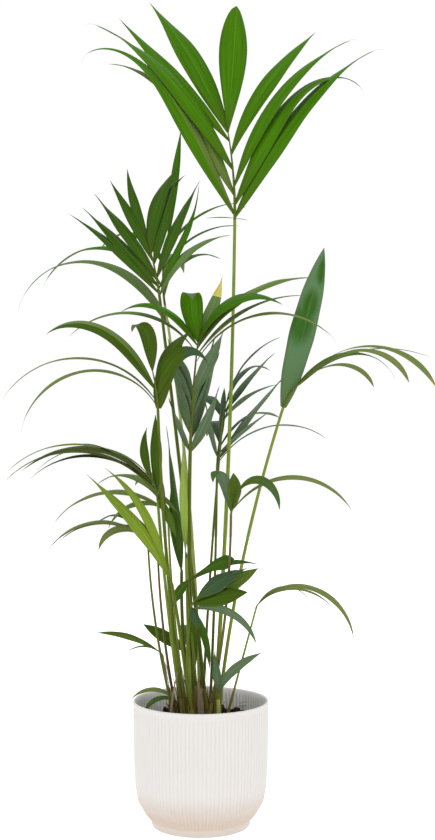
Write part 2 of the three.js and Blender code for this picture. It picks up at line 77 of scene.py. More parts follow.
WEAR_CLOUDS = 18          # clouds of wear to a metre of wall, so about 55 mm across
MOULD_GRAIN = 1           # grain of the wall, five times as coarse as the real one's

# Potting mix
MIX_TOP = 170
MIX_CENTRE = 1.5          # radius of the innermost ring of its top
MIX_EDGE = 104.1
MIX_RINGS, MIX_COLUMNS = 46, 120
MIX_FOOT = (40, 96)       # height and radius at which its filled body ends
MIX_LEVEL_TO = 88         # from there its top falls away to the wall: over what width, and how far
MIX_FALL_WIDTH = 16
MIX_FALL = 4
MIX_RELIEF = 5            # height of its lumps, and the width of the largest
MIX_LUMP = 9
LUMP_NOISE = (0.9, 2.1, 4)   # how smooth the lumps are, how much finer each octave is, and octaves
FINE_CRUMB = 2            # width of the fine crumbs in its pattern
LOOSE_CRUMBS = 420
LOOSE_REACH = 100         # how far from the middle they lie
LOOSE_SIZES = (1.2, 4.2)  # least and greatest radius of a loose crumb, and of a clod's
CLOD_SIZES = (1.8, 3.6)
LOOSE_LONG = (0.7, 1.5)   # a loose crumb's length, breadth and height in its radius
LOOSE_BROAD = (0.6, 1.2)
LOOSE_TALL = 0.7
LOOSE_LIFT = (-0.5, 2.5)  # how far its middle stands over the mix
# Clods that stand out of the mix: x, y, width and height
CLODS = [
    (-48, 42, 19, 24), (-38, 50, 22, 15), (32, 48, 20, 13), (58, 40, 18, 10), (-20, -70, 14, 6),
    (50, -20, 12, 6),
]
CLOD_CRUMBS = 70          # crumbs in a clod
CLOD_SPREAD = 0.3         # how far they lie from its middle, in its width
CLOD_TAPER = 0.75         # share of that which is lost by its top
CLOD_LONG = 1.2           # length of its crumbs in their radius
CLOD_SEED = 900           # from here on the crumbs are shaped unlike the loose ones
CRUMB_ROWS, CRUMB_COLUMNS = 6, 8
CRUMB_LATITUDE = 0.93     # how far up to its poles a crumb's rings go
CRUMB_DENTS = 1.7         # how close together its dents lie, and how deep they are
CRUMB_DENT = 0.55
BARK_EVERY = 5            # one crumb in so many is bark
FIBRES = 90
CLOD_FIBRE_EVERY = 3      # one fibre in so many sticks out of a clod
FIBRE_RINGS = 6
FIBRE_RADIUS = 0.35
FIBRE_LENGTHS = (6, 16)
FIBRE_SAG = 2.5
FIBRE_BOW = 3             # how far it bows to one side or the other
FIBRE_TAPER = 0.6         # share of its thickness that it loses
FIBRE_LIFT = 2            # how high over the mix it starts
FIBRE_RISE = 0.25         # the steepest that it rises, on the mix and from a clod
CLOD_FIBRE_RISE = 0.5
CLOD_FIBRE_PLACE = 0.7    # where it starts, in the clod's height
PEAT, BARK = range(2)     # numbers of the mix's materials

# Stalks
SHEATH_LENGTH = 0.12      # share of a petiole that its swollen base takes
SHEATH_SWELL = 1.18
RIB_TAPER = 0.6           # share of its thickness that a rib loses by its tip
STALK_SIDES = 14
STALK_STEP = 9            # length of one mesh step along a petiole, and the fewest steps
STALK_STEPS_LEAST = 8
RIB_STEP = 6              # and along a rib
RIB_STEPS_LEAST = 5
STALK_FLAT = 0.22         # how far its upper face is flattened
# Fibres across half its girth of about 18, so 1 wide, and their lengths in 100 of it, so 50 long
STALK_FIBRES = (9, 2.0)
PETIOLE, SHEATH, RIB, STRAND = range(4)   # numbers of a stalk's materials
# Sheathing bases and the dry strands that peel off them
SHEATH_RINGS = 9
SHEATH_REACH = (30, 75)   # least and greatest length, and the most that it is of the petiole
SHEATH_MOST = 0.3
# Its radius in the petiole's: at its foot, by its torn edge, and at that edge, which tucks in
SHEATH_FOOT, SHEATH_EDGE, SHEATH_TUCK = 1.3, 1.02, 0.7
SHEATH_EASE = 0.8         # how late it narrows
STRAND_SIDES = 6
STRAND_COUNTS = (1, 4)    # fewest strands of a base, and one more than the most
STRAND_REACH = (35, 110)  # least and greatest length, distance that it peels off, and radius
STRAND_PEEL = (1, 7)
STRAND_RADII = (0.6, 1.2)
STRAND_MOST = 0.35        # the most that a strand is of the petiole
STRAND_FOOT = 1.1         # how far from the petiole's axis it starts, in the petiole's radius
STRAND_TAPER = 0.7        # share of its thickness that it loses
# Fibres across half its girth of about 28, so 1 wide, and their lengths in 100 of it, so 83 long
SHEATH_FIBRES = (14, 1.2)

# Leaflets
PATH_STEPS = 24           # the steps in which the solid adds up a leaflet's bend
LEAF_STEP = 5.5           # length of one mesh step along a leaflet, and the fewest steps
LEAF_STEPS_LEAST = 12
LEAF_ROOT = 0.04          # how far before its root a leaflet's outline would start
LEAF_COLUMNS = (-1, -0.72, -0.42, -0.16, -0.05, 0, 0.05, 0.16, 0.42, 0.72, 1)
HALF_LEAST = 0.35         # half width at a leaflet's very tip, and what its thread loses of it
THREAD_THINNING = 0.2
LEAF_THICK = 0.55         # thickness of a blade beside its midrib
THICK_MOST = 0.5          # the most that it is of the half width
MARGIN_THINNING = 0.55    # share of it that is lost by the margin
MIDRIB_RISE = 0.45        # how far the midrib stands out of the upper surface
MIDRIB_MOST = 0.2         # the most that it is of the half width
MIDRIB_WIDTH = 0.05       # half its width, as a share of the half blade
MIDRIB_KEEL = 1.6         # depth of the keel below a blade, in its midrib's rise
FOLD_KEPT = 0.25          # share of the fold at the root that a blade keeps
FOLD_LENGTH = 0.16        # share of its length over which the rest is lost
MARGIN_DROOP = 0.1        # how far the margins curl down, and wave, as shares of the half width
MARGIN_WAVE = 0.05
THREAD_STEPS = 5          # mesh steps along the dry thread that a tip is drawn out to
THREAD_SAG = 0.35
NERVE_SPACING = 1.6       # between the nerves of a blade, coarser than real ones so that they show
BLADE_WIDTH = 28          # width of a middling leaflet, and how many nerves it has
BLADE_NERVES = BLADE_WIDTH / NERVE_SPACING
STREAKS_APART = 7         # how far the streaks of two leaflets can lie apart, in map units
THREAD_SHARE = 0.02       # how far a thread's map goes on past its blade's
LEAF_BROWN = "4a4f1c"     # the brownish green of a leaflet's margin and root
SHEEN_LEAF_SLENDERNESS = 3.5   # a waxy leaflet's length in its widths, about
# Painted darker reflections, where the painted sheen is left off a leaflet: place across and along
# it, and reach in its widths
DARK_REFLECTION_PATCHES = [((0.62, 0.52), 0.62), ((0.5, 0.64), 0.5), ((0.28, 0.86), 0.42)]

# Outlines of a leaflet: how slowly it widens from its root, and how early it narrows to its tip
LANCE = (1.1, 0.95)
BLUNT = (1.3, 0.6)        # fullest near its round tip
WIDE = (0.85, 0.9)        # full for most of its length
LATE = (3, 0.8)           # a narrow strap that is fullest near its tip
EARLY = (0.8, 1.5)        # fullest near its root, with a long fine tip

# Dry sheaths between the stems: foot x and y, lean to the right, height and width
DRY_SHEATHS = [
    dict(foot=(1, -42), lean=-5, height=72, width=11),
    dict(foot=(-48, -58), lean=12, height=90, width=4.5),
]
DRY_THICKNESS = 0.8
DRY_ROWS, DRY_COLUMNS = 26, 9
DRY_TAPER = 0.75          # share of its width that is lost by the tip
DRY_CURL = 0.72           # how deep a sheath is curled, as a share of its half width
DRY_TEAR = 0.25           # how far its torn edges swing, as a share of its half width
DRY_EDGE_RISE = 1.5       # how much higher its edges end than its middle
DRY_TEARS = 9             # how close together its tears lie
DRY_SEED = 5              # how far apart the patterns of two sheaths' tears are

# Camera and studio, in metres
FILM = 36                 # height of the camera's film in millimetres
IMAGE_HEIGHT = 840        # the same in pixels
FOCAL_LENGTH = 1545       # in pixels too
CAMERA_PLACE = (0.027, -2.5, 0.73)
CAMERA_DIP = 1.63         # degrees that the camera looks down
FLOOR_SIZE = 9.0
PAPER_CLOUDS = 1.5        # clouds to a metre of paper
# Soft boxes: place, where it points, width and power
SOFT_BOXES = {
    "front_box": ((-1.5, -2.6, 2.6), (0, 0, 0.7), 1.6, 10),
    "right_box": ((2.2, -1.4, 1.3), (0, 0, 0.6), 1.2, 3),
    "top_box": ((0.1, -0.7, 3.1), (0, 0, 0.6), 1.6, 12),
}

# Finishes of the leaflets: lamina, its dark streaks, midrib and roughness, and where they
# differ the weight of the glossy coat, the height of the nerves and the colour of the painted sheen
LEAF_FINISHES = {
    # The tallest frond's full clear green
    "fresh": ("417500", "355e00", "64901e", 0.42),
    # A grown leaf's plain green
    "mid": ("3e6f06", "2f5702", "5f8729", 0.42),
    # Dark, thick old leaf
    "deep": ("3a5e08", "2a4804", "587526", 0.42, 0.1),
    # Painted sheen: grey-green of a blade that is turned to the light
    "silvery": ("647f42", "4f6a34", "869b66", 0.46, 0.15),
    # Deep glossy green under a grey painted reflection, which is left off in patches
    "waxy": ("326014", "284f10", "557a3e", 0.36, 0.15, 0.1, "54744c"),
    # Yellowish dark green of a shaded blade
    "olive": ("4e641c", "3e5214", "70803a", 0.45),
    # Green that age has browned
    "bronze": ("464f20", "384018", "626739", 0.45),
    # Yellow-green of a thin new leaf
    "young": ("78902c", "637a1e", "9aac54", 0.42),
    # Pale yellow-green of a leaf that hasn't opened
    "spear": ("8ca646", "76903a", "b0c274", 0.42),
    # The duller back of a blade, where the nerves stand out more
    "underside": ("5a7050", "4a5f42", "8a9c6c", 0.55, 0, 0.16),
    # Painted shade: cool dark green of leaf deep in the bunch, in the shade of other fronds
    "bluish": ("3d5636", "2f462b", "5f7852", 0.4),
    # A yellow tip that is dying off
    "yellow": ("cfc65e", "b3a94a", "d9d17c", 0.45),
    # Painted sheen: lighter green of a half that faces up to the light
    "sheen": ("627b34", "506826", "829a56", 0.42, 0.1),
    # Brownish yellow of a tip that is drying
    "ochre": ("948a3a", "77702c", "aaa35a", 0.5),
    # Greyish olive of the thin arched straps
    "arch": ("6f7f3e", "5a6a30", "8d9a60", 0.46, 0.15),
    # Dark mossy green of thick low leaf
    "moss": ("40590e", "304706", "5c7028", 0.45),
    # Dull green of a blade that shows its back
    "dusky": ("46632c", "385022", "6b824e", 0.42),
    # Straw grey of a dead tip
    "dry_tip": ("8b8462", "6b6446", "a39b79", 0.7),
}
# Finishes of the stalks: skin, and the darker skin between its fibres, which is deepened in part as
# painted shade among the stems
STALK_FINISHES = {
    # Fresh yellowish green of the tall outer petioles
    "green": ("7d9034", "5a6c1c"),
    # Paler, where the light falls through the fronds
    "light": ("9aa45c", "7c863e"),
    # Dark green of the old petioles in the bunch, darkened in part as painted shade of the bunch
    "olive": ("5e6c1a", "333f08"),
    # Petioles that have begun to brown
    "brown": ("665d30", "494222"),
}
# Finishes of leaf sheath: its middle, dark and pale fibres
SHEATH_FINISHES = {
    # Still half green, round a petiole's foot
    "stalk_sheath": ("77732f", "5a4f28", "8f8a45"),
    # Dark brown fibre
    "dry_strand": ("5b452c", "3a2a1c", "84704f"),
    # Papery grey brown, long dead
    "papery_sheath": ("87755d", "5f4e3b", "b3a48b"),
}


def leaflet(at, bearing, rise, droop, ease, length, width, roll, **own):
    """One leaflet's row.

    at: place along the rib, from 0 at the collar to 1 at the tip
    bearing: degrees round from +X, rise: degrees above level at the root
    droop: degrees lost towards the tip, ease: how late the droop sets in
    roll: degrees that the blade is turned about its length, easing to none at the tip
    own: what it has that the others don't
        tint, tip: its finish, or those of both halves, and its tip's, which begins at dry_from
        turned: degrees turned over, twist: degrees more by the tip, sway: sideways bow
        fold: slope of the halves at the root, shape: outline, alone: True for a piece by itself
        thread: length of the dry thread that its tip is drawn out to
    """
    return dict(at=at, bearing=bearing, rise=rise, droop=droop, ease=ease, length=length,
                width=width, roll=roll, **own)


# The fronds: the crown and the left side, roughly downwards, then the others, and two inside
# foot: where the petiole leaves the mix, bow: how far it bows off the straight line
# thick: radius of the petiole above its base, and at the collar
# collar: where the rib begins, tip: where it ends
# tint: finish of the leaflets that have none of their own, under: of their undersides
# stalk: finish of the petiole
FRONDS = [
    dict(name="crown", foot=(21, -8), bow=(6, 0), thick=(3.6, 2.5), collar=(55, 10, 983),
         tip=(44, 10, 1124), tint="fresh", under="mid", stalk="green", leaflets=[
        leaflet(0.06, 194, 61.5, 108, 4.6, 378, 38, -70, tint=("sheen", "fresh"), thread=14),
        leaflet(0.28, 178, 64, 66, 2.4, 310, 32, -75, tint="sheen"),
        leaflet(0.58, 190, 57.5, 40, 2, 322, 34, -78, thread=16),
        leaflet(0.9, 168, 50, 5, 1.5, 276, 25, -80),
        leaflet(1, 158, 65, 20, 1.6, 262, 37, -80),
        leaflet(0.03, -12, 60.5, 40, 2.2, 350, 38, 70, thread=16, fold=0.08),
        leaflet(0.17, -8, 64, 125, 3.7, 316, 33, 75, thread=12, fold=0.08),
        leaflet(0.38, -10, 69, 51, 1.6, 306, 26, 78, thread=12),
        leaflet(0.74, 22, 70, 31, 0.9, 262, 26, 80),
        leaflet(1, -50, 83, -2, 1, 200, 47, -40,
                turned=180, shape=BLUNT, dry_from=1.1, twist=0, sway=0),
    ]),
    dict(name="left_high", foot=(10, 12), bow=(2, 0), thick=(3.5, 2.4), collar=(-67, 30, 854),
         tip=(-85, 40, 943), tint="deep", leaflets=[
        leaflet(0.12, 188, 49, 20, 1.4, 194, 20, -66, thread=8),
        leaflet(0.25, 184, 50, 10, 1.4, 177, 23, -70),
        leaflet(0.45, 180, 56, 8, 1.4, 168, 22, -75),
        leaflet(0.7, 172, 65, 8, 1.4, 153, 18, -80),
        leaflet(1, 160, 68, -13, 1.4, 134, 16, -80),
        leaflet(0.08, -8, 69, 68, 1.2, 162, 20, 60, tint="silvery"),
        leaflet(0.2, -4, 63, -24, 3, 182, 16, 70, tint="mid"),
        leaflet(0.4, 0, 72, 14, 1.2, 174, 22, 72),
        leaflet(0.65, 5, 79, 8, 1.2, 150, 22, 76),
        leaflet(0.85, 16, 92, 46, 1.2, 156, 25, 76),
        leaflet(1, 20, 84, 50, 1.2, 138, 18, 76),
    ]),
    dict(name="left_back", foot=(-2, 46), bow=(12, 8), thick=(3.3, 2.1), collar=(-62, 120, 850),
         tip=(-57, 138, 962), tint="mid", stalk="light", leaflets=[
        leaflet(-0.28, 168, 60, 130, 1.35, 336, 25, -35, tint="silvery", thread=14, shape=EARLY),
        leaflet(0.25, 160, 59, 120, 1.1, 268, 20, -30, thread=8),
        leaflet(0.6, 140, 64, 110, 1.1, 180, 22, -20),
        leaflet(0.12, 82, 60, 100, 1.1, 250, 24, 20, tint="silvery"),
        leaflet(0.3, 40, 60, 84, 1.1, 150, 18, 20),
        leaflet(0.55, 8, 60, 66, 1.1, 158, 16, 20),
        leaflet(0.75, 4, 66, 66, 1.1, 162, 16, 20),
        leaflet(1, 20, 84, 2, 1, 195, 15, 80),
    ]),
    dict(name="centre", foot=(-8, -4), bow=(-5, 0), thick=(4.3, 2.9), collar=(-17, -25, 599),
         tip=(-4, -58, 784), tint="deep", leaflets=[
        leaflet(0.05, 150, 66, 2, 1, 96, 20, 70, tint="bluish"),
        leaflet(0.2, 160, 78, 4, 1, 126, 26, 70, tint="bluish"),
        leaflet(0.36, 170, 74, 4, 1, 112, 28, 70, tint="olive"),
        leaflet(0.5, 180, 68, 0, 1, 106, 32, 70, tint="olive"),
        leaflet(0.05, 10, 62, -8, 1, 116, 24, -70, tint="bluish"),
        leaflet(0.16, 30, 74, 10, 1, 150, 30, -70, tint="bluish"),
        leaflet(0.34, 20, 76, 6, 1, 138, 32, -70, tint="bluish"),
        leaflet(0.55, 0, 66, 4, 1, 112, 26, -70),
        leaflet(0.9, 192, 58, 106, 1, 236, 13, -35, tint="silvery"),
        leaflet(0.97, 200, 57, 98, 1.6, 154, 25, -50, tint="mid"),
        leaflet(0.82, -21, 57, 104, 1.1, 264, 12, 30, tint="arch", thread=8),
        leaflet(0.88, -11, 56, 60, 1.1, 204, 18, 35, tint="arch"),
        leaflet(0.94, -17, 60, 68, 1.1, 236, 24, 45, tint="sheen"),
        leaflet(1, -26, 68, 104, 1.1, 180, 30, 55, tint="mid"),
        leaflet(1, 262, 88, 165, 2.6, 112, 36, 0, tint="fresh", turned=180, sway=-9, twist=0),
        leaflet(0.97, 10, 68, -4, 1, 116, 24, 70, tint="silvery", dry_from=0.69, tip="yellow"),
    ]),
    dict(name="left_mid", foot=(-26, -26), bow=(-6, 0), thick=(3.4, 2.2), collar=(-66, -85, 674),
         tip=(-75, -98, 742), tint="moss", leaflets=[
        leaflet(0.08, 196, 61, 134, 0.95, 268, 14, -20, tint="arch", thread=12),
        leaflet(0.2, 182, 58, 113, 1, 278, 14, -20, tint="arch", thread=10),
        leaflet(0.5, 200, 57, 102, 2, 222, 30, -60, tint=("sheen", "moss")),
        leaflet(0.95, 238, 84, 165, 2.6, 110, 25, 30, turned=180, twist=0),
        leaflet(0.08, -38, 84, 156, 1.7, 168, 30, 100,
                twist=60, shape=EARLY, dry_from=0.62, tip="bluish"),
        leaflet(0.4, -8, 74, 60, 2.5, 124, 34, 80),
    ]),
    dict(name="left_low", foot=(-28, 0), bow=(-4, 0), thick=(3.4, 2.1), collar=(-68, -50, 533),
         tip=(-84, -60, 581), tint="olive", stalk="green", leaflets=[
        leaflet(0.14, 182, 56, 104, 1, 276, 12, -25, tint="arch"),
        leaflet(0.35, 196, 56, 99, 1, 246, 14, -35, tint="bronze"),
        leaflet(0.56, 173, 50, 95, 1, 266, 12, -15, tint="arch"),
        leaflet(0.5, 190, 42, 50, 2.5, 140, 9, -10),
        leaflet(0.2, 150, 89, 0, 1, 126, 19, -66, tint="moss"),
        leaflet(0.72, 180, 64, -44, 1, 84, 15, -84, tint="moss"),
        leaflet(0.14, -30, -50, 24, 1, 74, 14, 50),
        leaflet(0.24, -10, -34, 20, 1, 48, 12, 40),
    ]),
    dict(name="young", foot=(-14, -44), bow=(2, 0), thick=(3.3, 2.4), collar=(-44, -90, 403),
         tip=(-50, -93, 415), tint="young", leaflets=[
        leaflet(0.3, 186, 71, 31, 0.6, 218, 22, -75),
        leaflet(1, 171, 74, 44, 1.8, 204, 15, -80),
    ]),
    dict(name="low_left_a", foot=(-40, -18), bow=(-8, 0), thick=(2.3, 1.6), collar=(-84, -40, 462),
         tip=(-90, -44, 474), tint="arch", leaflets=[
        leaflet(0.3, 186, 46, 106, 1, 184, 15, -20),
        leaflet(1, 205, 40, 124, 1.2, 98, 13, -45, twist=-30),
    ]),
    dict(name="low_left_b", foot=(-38, 14), bow=(-6, 0), thick=(2.5, 1.7), collar=(-70, 0, 445),
         tip=(-80, 4, 462), tint="bronze", stalk="brown", leaflets=[
        leaflet(0.25, 171, 50, 98, 1, 186, 16, -20),
        leaflet(0.6, 138, 56, 96, 1, 160, 18, -20),
        leaflet(1, 195, 62, 110, 1, 92, 16, -20),
    ]),
    dict(name="low_left_c", foot=(-22, 28), bow=(-6, 0), thick=(2.5, 1.7), collar=(-54, 36, 500),
         tip=(-64, 42, 520), tint="sheen", stalk="green", leaflets=[
        leaflet(0.2, 172, 42, 98, 1, 216, 18, -25, tint="arch"),
        leaflet(0.45, 188, 36, 110, 1, 118, 18, -25),
        leaflet(0.75, 110, 54, 96, 1, 190, 20, -25),
        leaflet(1, 150, 60, 100, 1, 150, 18, -25),
    ]),
    dict(name="right_high", foot=(27, -24), bow=(-14, 0), thick=(3, 2.3), collar=(134, 20, 678),
         tip=(168, 24, 724), tint="mid", stalk="green", leaflets=[
        leaflet(0.02, 14, 73.2, -3, 0.5, 270, 46, 84,
                tint="waxy", twist=72, shape=WIDE, fold=0.12, sway=0, alone=True),
        leaflet(0.45, -20, 46, 121, 1.7, 171, 9, 20, tint="arch", twist=50, shape=LATE),
        leaflet(0.6, -30, 43, 116, 1.7, 244, 10, 15, tint="arch", twist=55, shape=LATE),
        leaflet(0.78, 24, 43, 106, 1.5, 214, 12, 50, tint="olive", shape=EARLY),
        leaflet(0.9, 10, 44, 66, 0.9, 236, 6, 20, tint="silvery"),
        leaflet(1, -8, 50, 117, 1.1, 257, 11, 12,
                tint="arch", twist=60, shape=LATE, dry_from=0.93, tip="ochre"),
    ]),
    dict(name="mid_back", foot=(14, 34), bow=(2, 4), thick=(2.6, 1.9), collar=(26, 95, 569),
         tip=(50, 118, 689), tint="bluish", leaflets=[
        leaflet(0.08, 40, 84, 2, 1, 132, 26, -30),
        leaflet(0.2, 152, 78, 4, 1, 104, 22, 60),
        leaflet(0.4, 99, 48, 96, 1, 160, 22, -20),
        leaflet(0.7, 117, 50, 100, 1, 190, 22, -20),
        leaflet(0.1, 8, 56, 94, 1.1, 214, 14, -15),
        leaflet(0.16, 14, 56, 14, 1.1, 196, 26, -45),
        leaflet(0.24, -8, 46, 14, 1.1, 112, 14, -30),
        leaflet(0.3, 46, 56, 84, 1.1, 180, 20, -20),
    ]),
    dict(name="mid_back_b", foot=(2, 30), bow=(-3, 2), thick=(2.4, 1.8), collar=(35, 92, 648),
         tip=(48, 104, 703), tint="bluish", leaflets=[
        leaflet(0.12, -4, 58, 50, 1, 112, 16, -30),
        leaflet(0.35, 8, 60, 22, 1, 134, 20, -50),
        leaflet(0.65, 60, 58, 80, 1, 180, 20, -20),
        leaflet(1, 6, 74, 56, 1, 132, 13, -20),
    ]),
    dict(name="mid_front", foot=(10, -30), bow=(9, -4), thick=(2.4, 1.9), collar=(48, -95, 513),
         tip=(54, -100, 527), tint="mid", stalk="brown", leaflets=[
        leaflet(0.35, 236, 95, 186, 2, 112, 24, 0, tint="dusky", twist=0, sway=-9),
        leaflet(0.35, 288, 86, 10, 1, 62, 23, 10, tint="olive", turned=180, twist=0, sway=5),
        leaflet(0.4, -12, 54, 114, 1.1, 222, 9, 35, tint="arch", twist=40),
        leaflet(0.7, -42, 82, 176, 1.1, 146, 15, 40,
                tint="olive", twist=45, dry_from=0.55, tip="dusky"),
    ]),
    dict(name="low_front", foot=(-8, -56), bow=(-8, -6), thick=(2.8, 2.1), collar=(-16, -78, 359),
         tip=(-4, -92, 383), tint="bluish", leaflets=[
        leaflet(0.15, -24, 15, 92, 1.3, 136, 16, -50, tint="dusky", twist=-60),
        leaflet(0.5, -31, 18, 8, 1, 103, 28, 55, tint="moss", twist=45),
        leaflet(0.75, -8, 21, -14, 1, 113, 27, -60, tint="olive", twist=-50, turned=180),
        leaflet(1, -6, 44, 26, 1, 94, 34, 60),
        leaflet(0.3, 300, -48, 20, 1, 38, 14, 20),
    ]),
    dict(name="low_centre", foot=(-3, -22), bow=(0, 0), thick=(2.8, 2), collar=(-20, -58, 400),
         tip=(-16, -61, 412), tint="deep", leaflets=[
        leaflet(0.4, 10, 32, 58, 1.6, 124, 15, 40),
        leaflet(1, -14, 30, 14, 1, 78, 24, 60, twist=50, shape=LATE),
        leaflet(0.6, 206, -42, 28, 1, 50, 17, -50),
    ]),
    dict(name="low_right", foot=(40, -12), bow=(0, 0), thick=(2, 1.5), collar=(89, -40, 360),
         tip=(94, -42, 368), tint="arch", stalk="green", leaflets=[
        leaflet(0.3, -18, 50, 104, 1, 146, 8, 25),
        leaflet(0.6, 33, 50, 104, 1, 116, 8, 25),
        leaflet(1, -3, 53, 138, 0.82, 204, 11, 25, twist=45),
    ]),
    dict(name="small_left", foot=(-44, -42), bow=(0, 0), thick=(1.8, 1.4), collar=(-60, -50, 284),
         tip=(-65, -52, 291), tint="olive", leaflets=[
        leaflet(0.4, 200, 48, 84, 1, 64, 7, -20),
        leaflet(1, 184, 36, 38, 1, 106, 11, -40, twist=-40),
    ]),
    dict(name="small_back", foot=(-20, 58), bow=(0, 0), thick=(2.4, 1.8), collar=(-20, 46, 272),
         tip=(-24, 47, 280), tint="moss", leaflets=[
        leaflet(0.4, 100, 50, 60, 1, 90, 18, -30),
        leaflet(0.2, 176, 33, 5, 1, 88, 21, -60, twist=-50),
    ]),
    dict(name="small_right", foot=(30, -55), bow=(0, 0), thick=(4, 2.8), collar=(28, -56, 216),
         tip=(28, -56, 228), tint="silvery", stalk="light", leaflets=[
        leaflet(0.5, -6, 88, 66, 0.5, 102, 16, -60, twist=-50),
        leaflet(1, 175, 88, 6, 1, 66, 18, 70),
    ]),
    dict(name="rim_left", foot=(-50, -26), bow=(0, 0), thick=(1.8, 1.4), collar=(-38, -32, 204),
         tip=(-41, -32, 210), tint="arch", leaflets=[
        leaflet(0.4, 192, 40, 128, 1, 72, 9, -40, tint="dusky", twist=-30),
        leaflet(1, 184, 50, 102, 1, 82, 9, -40, twist=-20),
    ]),
    dict(name="inner_dark", foot=(-12, 14), bow=(-6, 0), thick=(3.2, 2.6), collar=(-31, -10, 412),
         tip=(-33, -10, 424), tint="deep", leaflets=[
        leaflet(0.3, 170, 82, -4, 1, 150, 22, -70),
        leaflet(1, 200, 86, 4, 1, 228, 17, -80),
    ]),
    dict(name="inner_pale", foot=(-16, -32), bow=(0, 0), thick=(3, 2.6), collar=(-23, -36, 440),
         tip=(-24, -36, 450), tint="spear", stalk="green", leaflets=[
        leaflet(1, 185, 88, -1, 1, 168, 15, -84),
    ]),
]

# Small leaflets and dead strands that only show close to, which the solid leaves out
EXTRA_LEAFLETS = {
    "crown": [
        leaflet(0.02, 184, 6, 14, 1, 46, 5, -20, tint="mid"),
        leaflet(0.01, -6, 6, 30, 1, 22, 2.4, -20, tint="dry_tip"),
        leaflet(0.05, 12, 48, 20, 1, 26, 1.6, -20, tint="dry_tip"),
    ],
    "left_low": [
        leaflet(0.42, 186, 57, 99, 1, 232, 9, -30, tint="deep"),
        leaflet(0.3, 179, 53, 99, 1, 228, 9, -40, tint="bronze"),
        leaflet(0.6, 188, 56, 104, 1, 212, 7, -30, tint="silvery"),
    ],
    "low_front": [
        leaflet(0.2, 56, -44, 40, 1, 118, 13, -20, tint="deep", turned=180),
        leaflet(0.1, 84, -46, 36, 1, 124, 13, -20, tint="moss", turned=180),
    ],
}

# What a leaflet has unless its row says otherwise
PLAIN_LEAFLET = dict(thread=0, turned=0, shape=LANCE, tip="dry_tip", alone=False)
# And what it draws between two ends, in this order
# waves: how many waves its margins have, phase: where they begin
DRAWN_LEAFLET = dict(twist=(-7, 7), sway=(-2.5, 2.5), fold=(0.22, 0.34), waves=(1.5, 3.5),
                     phase=(0, 1), dry_from=(0.955, 0.985))
# The extra leaflets draw their phase alone
PLAIN_EXTRA = PLAIN_LEAFLET | dict(twist=0, sway=0, fold=0.25, waves=1, dry_from=0.9)


def hex_colour(text):
    """An sRGB colour such as "4a8106" as the linear colour that a shader takes."""
    shares = [int(text[place:place + 2], 16) / 255 for place in (0, 2, 4)]
    return tuple(c / 12.92 if c <= 0.04045 else ((c + 0.055) / 1.055) ** 2.4 for c in shares) + (1,)


def connect(tree, node, inputs):
    """Sets a node's inputs. A node or one of its sockets is linked, any other value is set.

    A node gives the first of its outputs that its settings have in use. A colour is sRGB hex.
    """
    for name, value in inputs.items():
        if isinstance(value, str):
            value = hex_colour(value)
        if isinstance(value, bpy.types.Node):
            value = next(output for output in value.outputs if output.enabled)
        if isinstance(value, bpy.types.NodeSocket):
            tree.links.new(value, node.inputs[name])
        else:
            node.inputs[name].default_value = value


def add_node(tree, kind, inputs=None, **settings):
    """Adds a shader node with its settings, and its inputs by name or number.

    MapRange: 0 is the value, 1 and 2 are the ends of its range and 3 and 4 what they become
    Mix: 0 is the share, 6 and 7 are the colours at none and at all of it
    """
    node = tree.nodes.new("ShaderNode" + kind)
    for name, value in settings.items():
        setattr(node, name, value)
    connect(tree, node, inputs or {})
    return node


def new_material(name, **shader):
    """A material with one Principled shader, whose plain inputs are given by name."""
    material = bpy.data.materials.new(name)
    material.use_nodes = True
    tree = material.node_tree
    body = tree.nodes["Principled BSDF"]
    connect(tree, body, {key.replace("_", " "): value for key, value in shader.items()})
    material.diffuse_color = body.inputs["Base Color"].default_value
    return tree, body


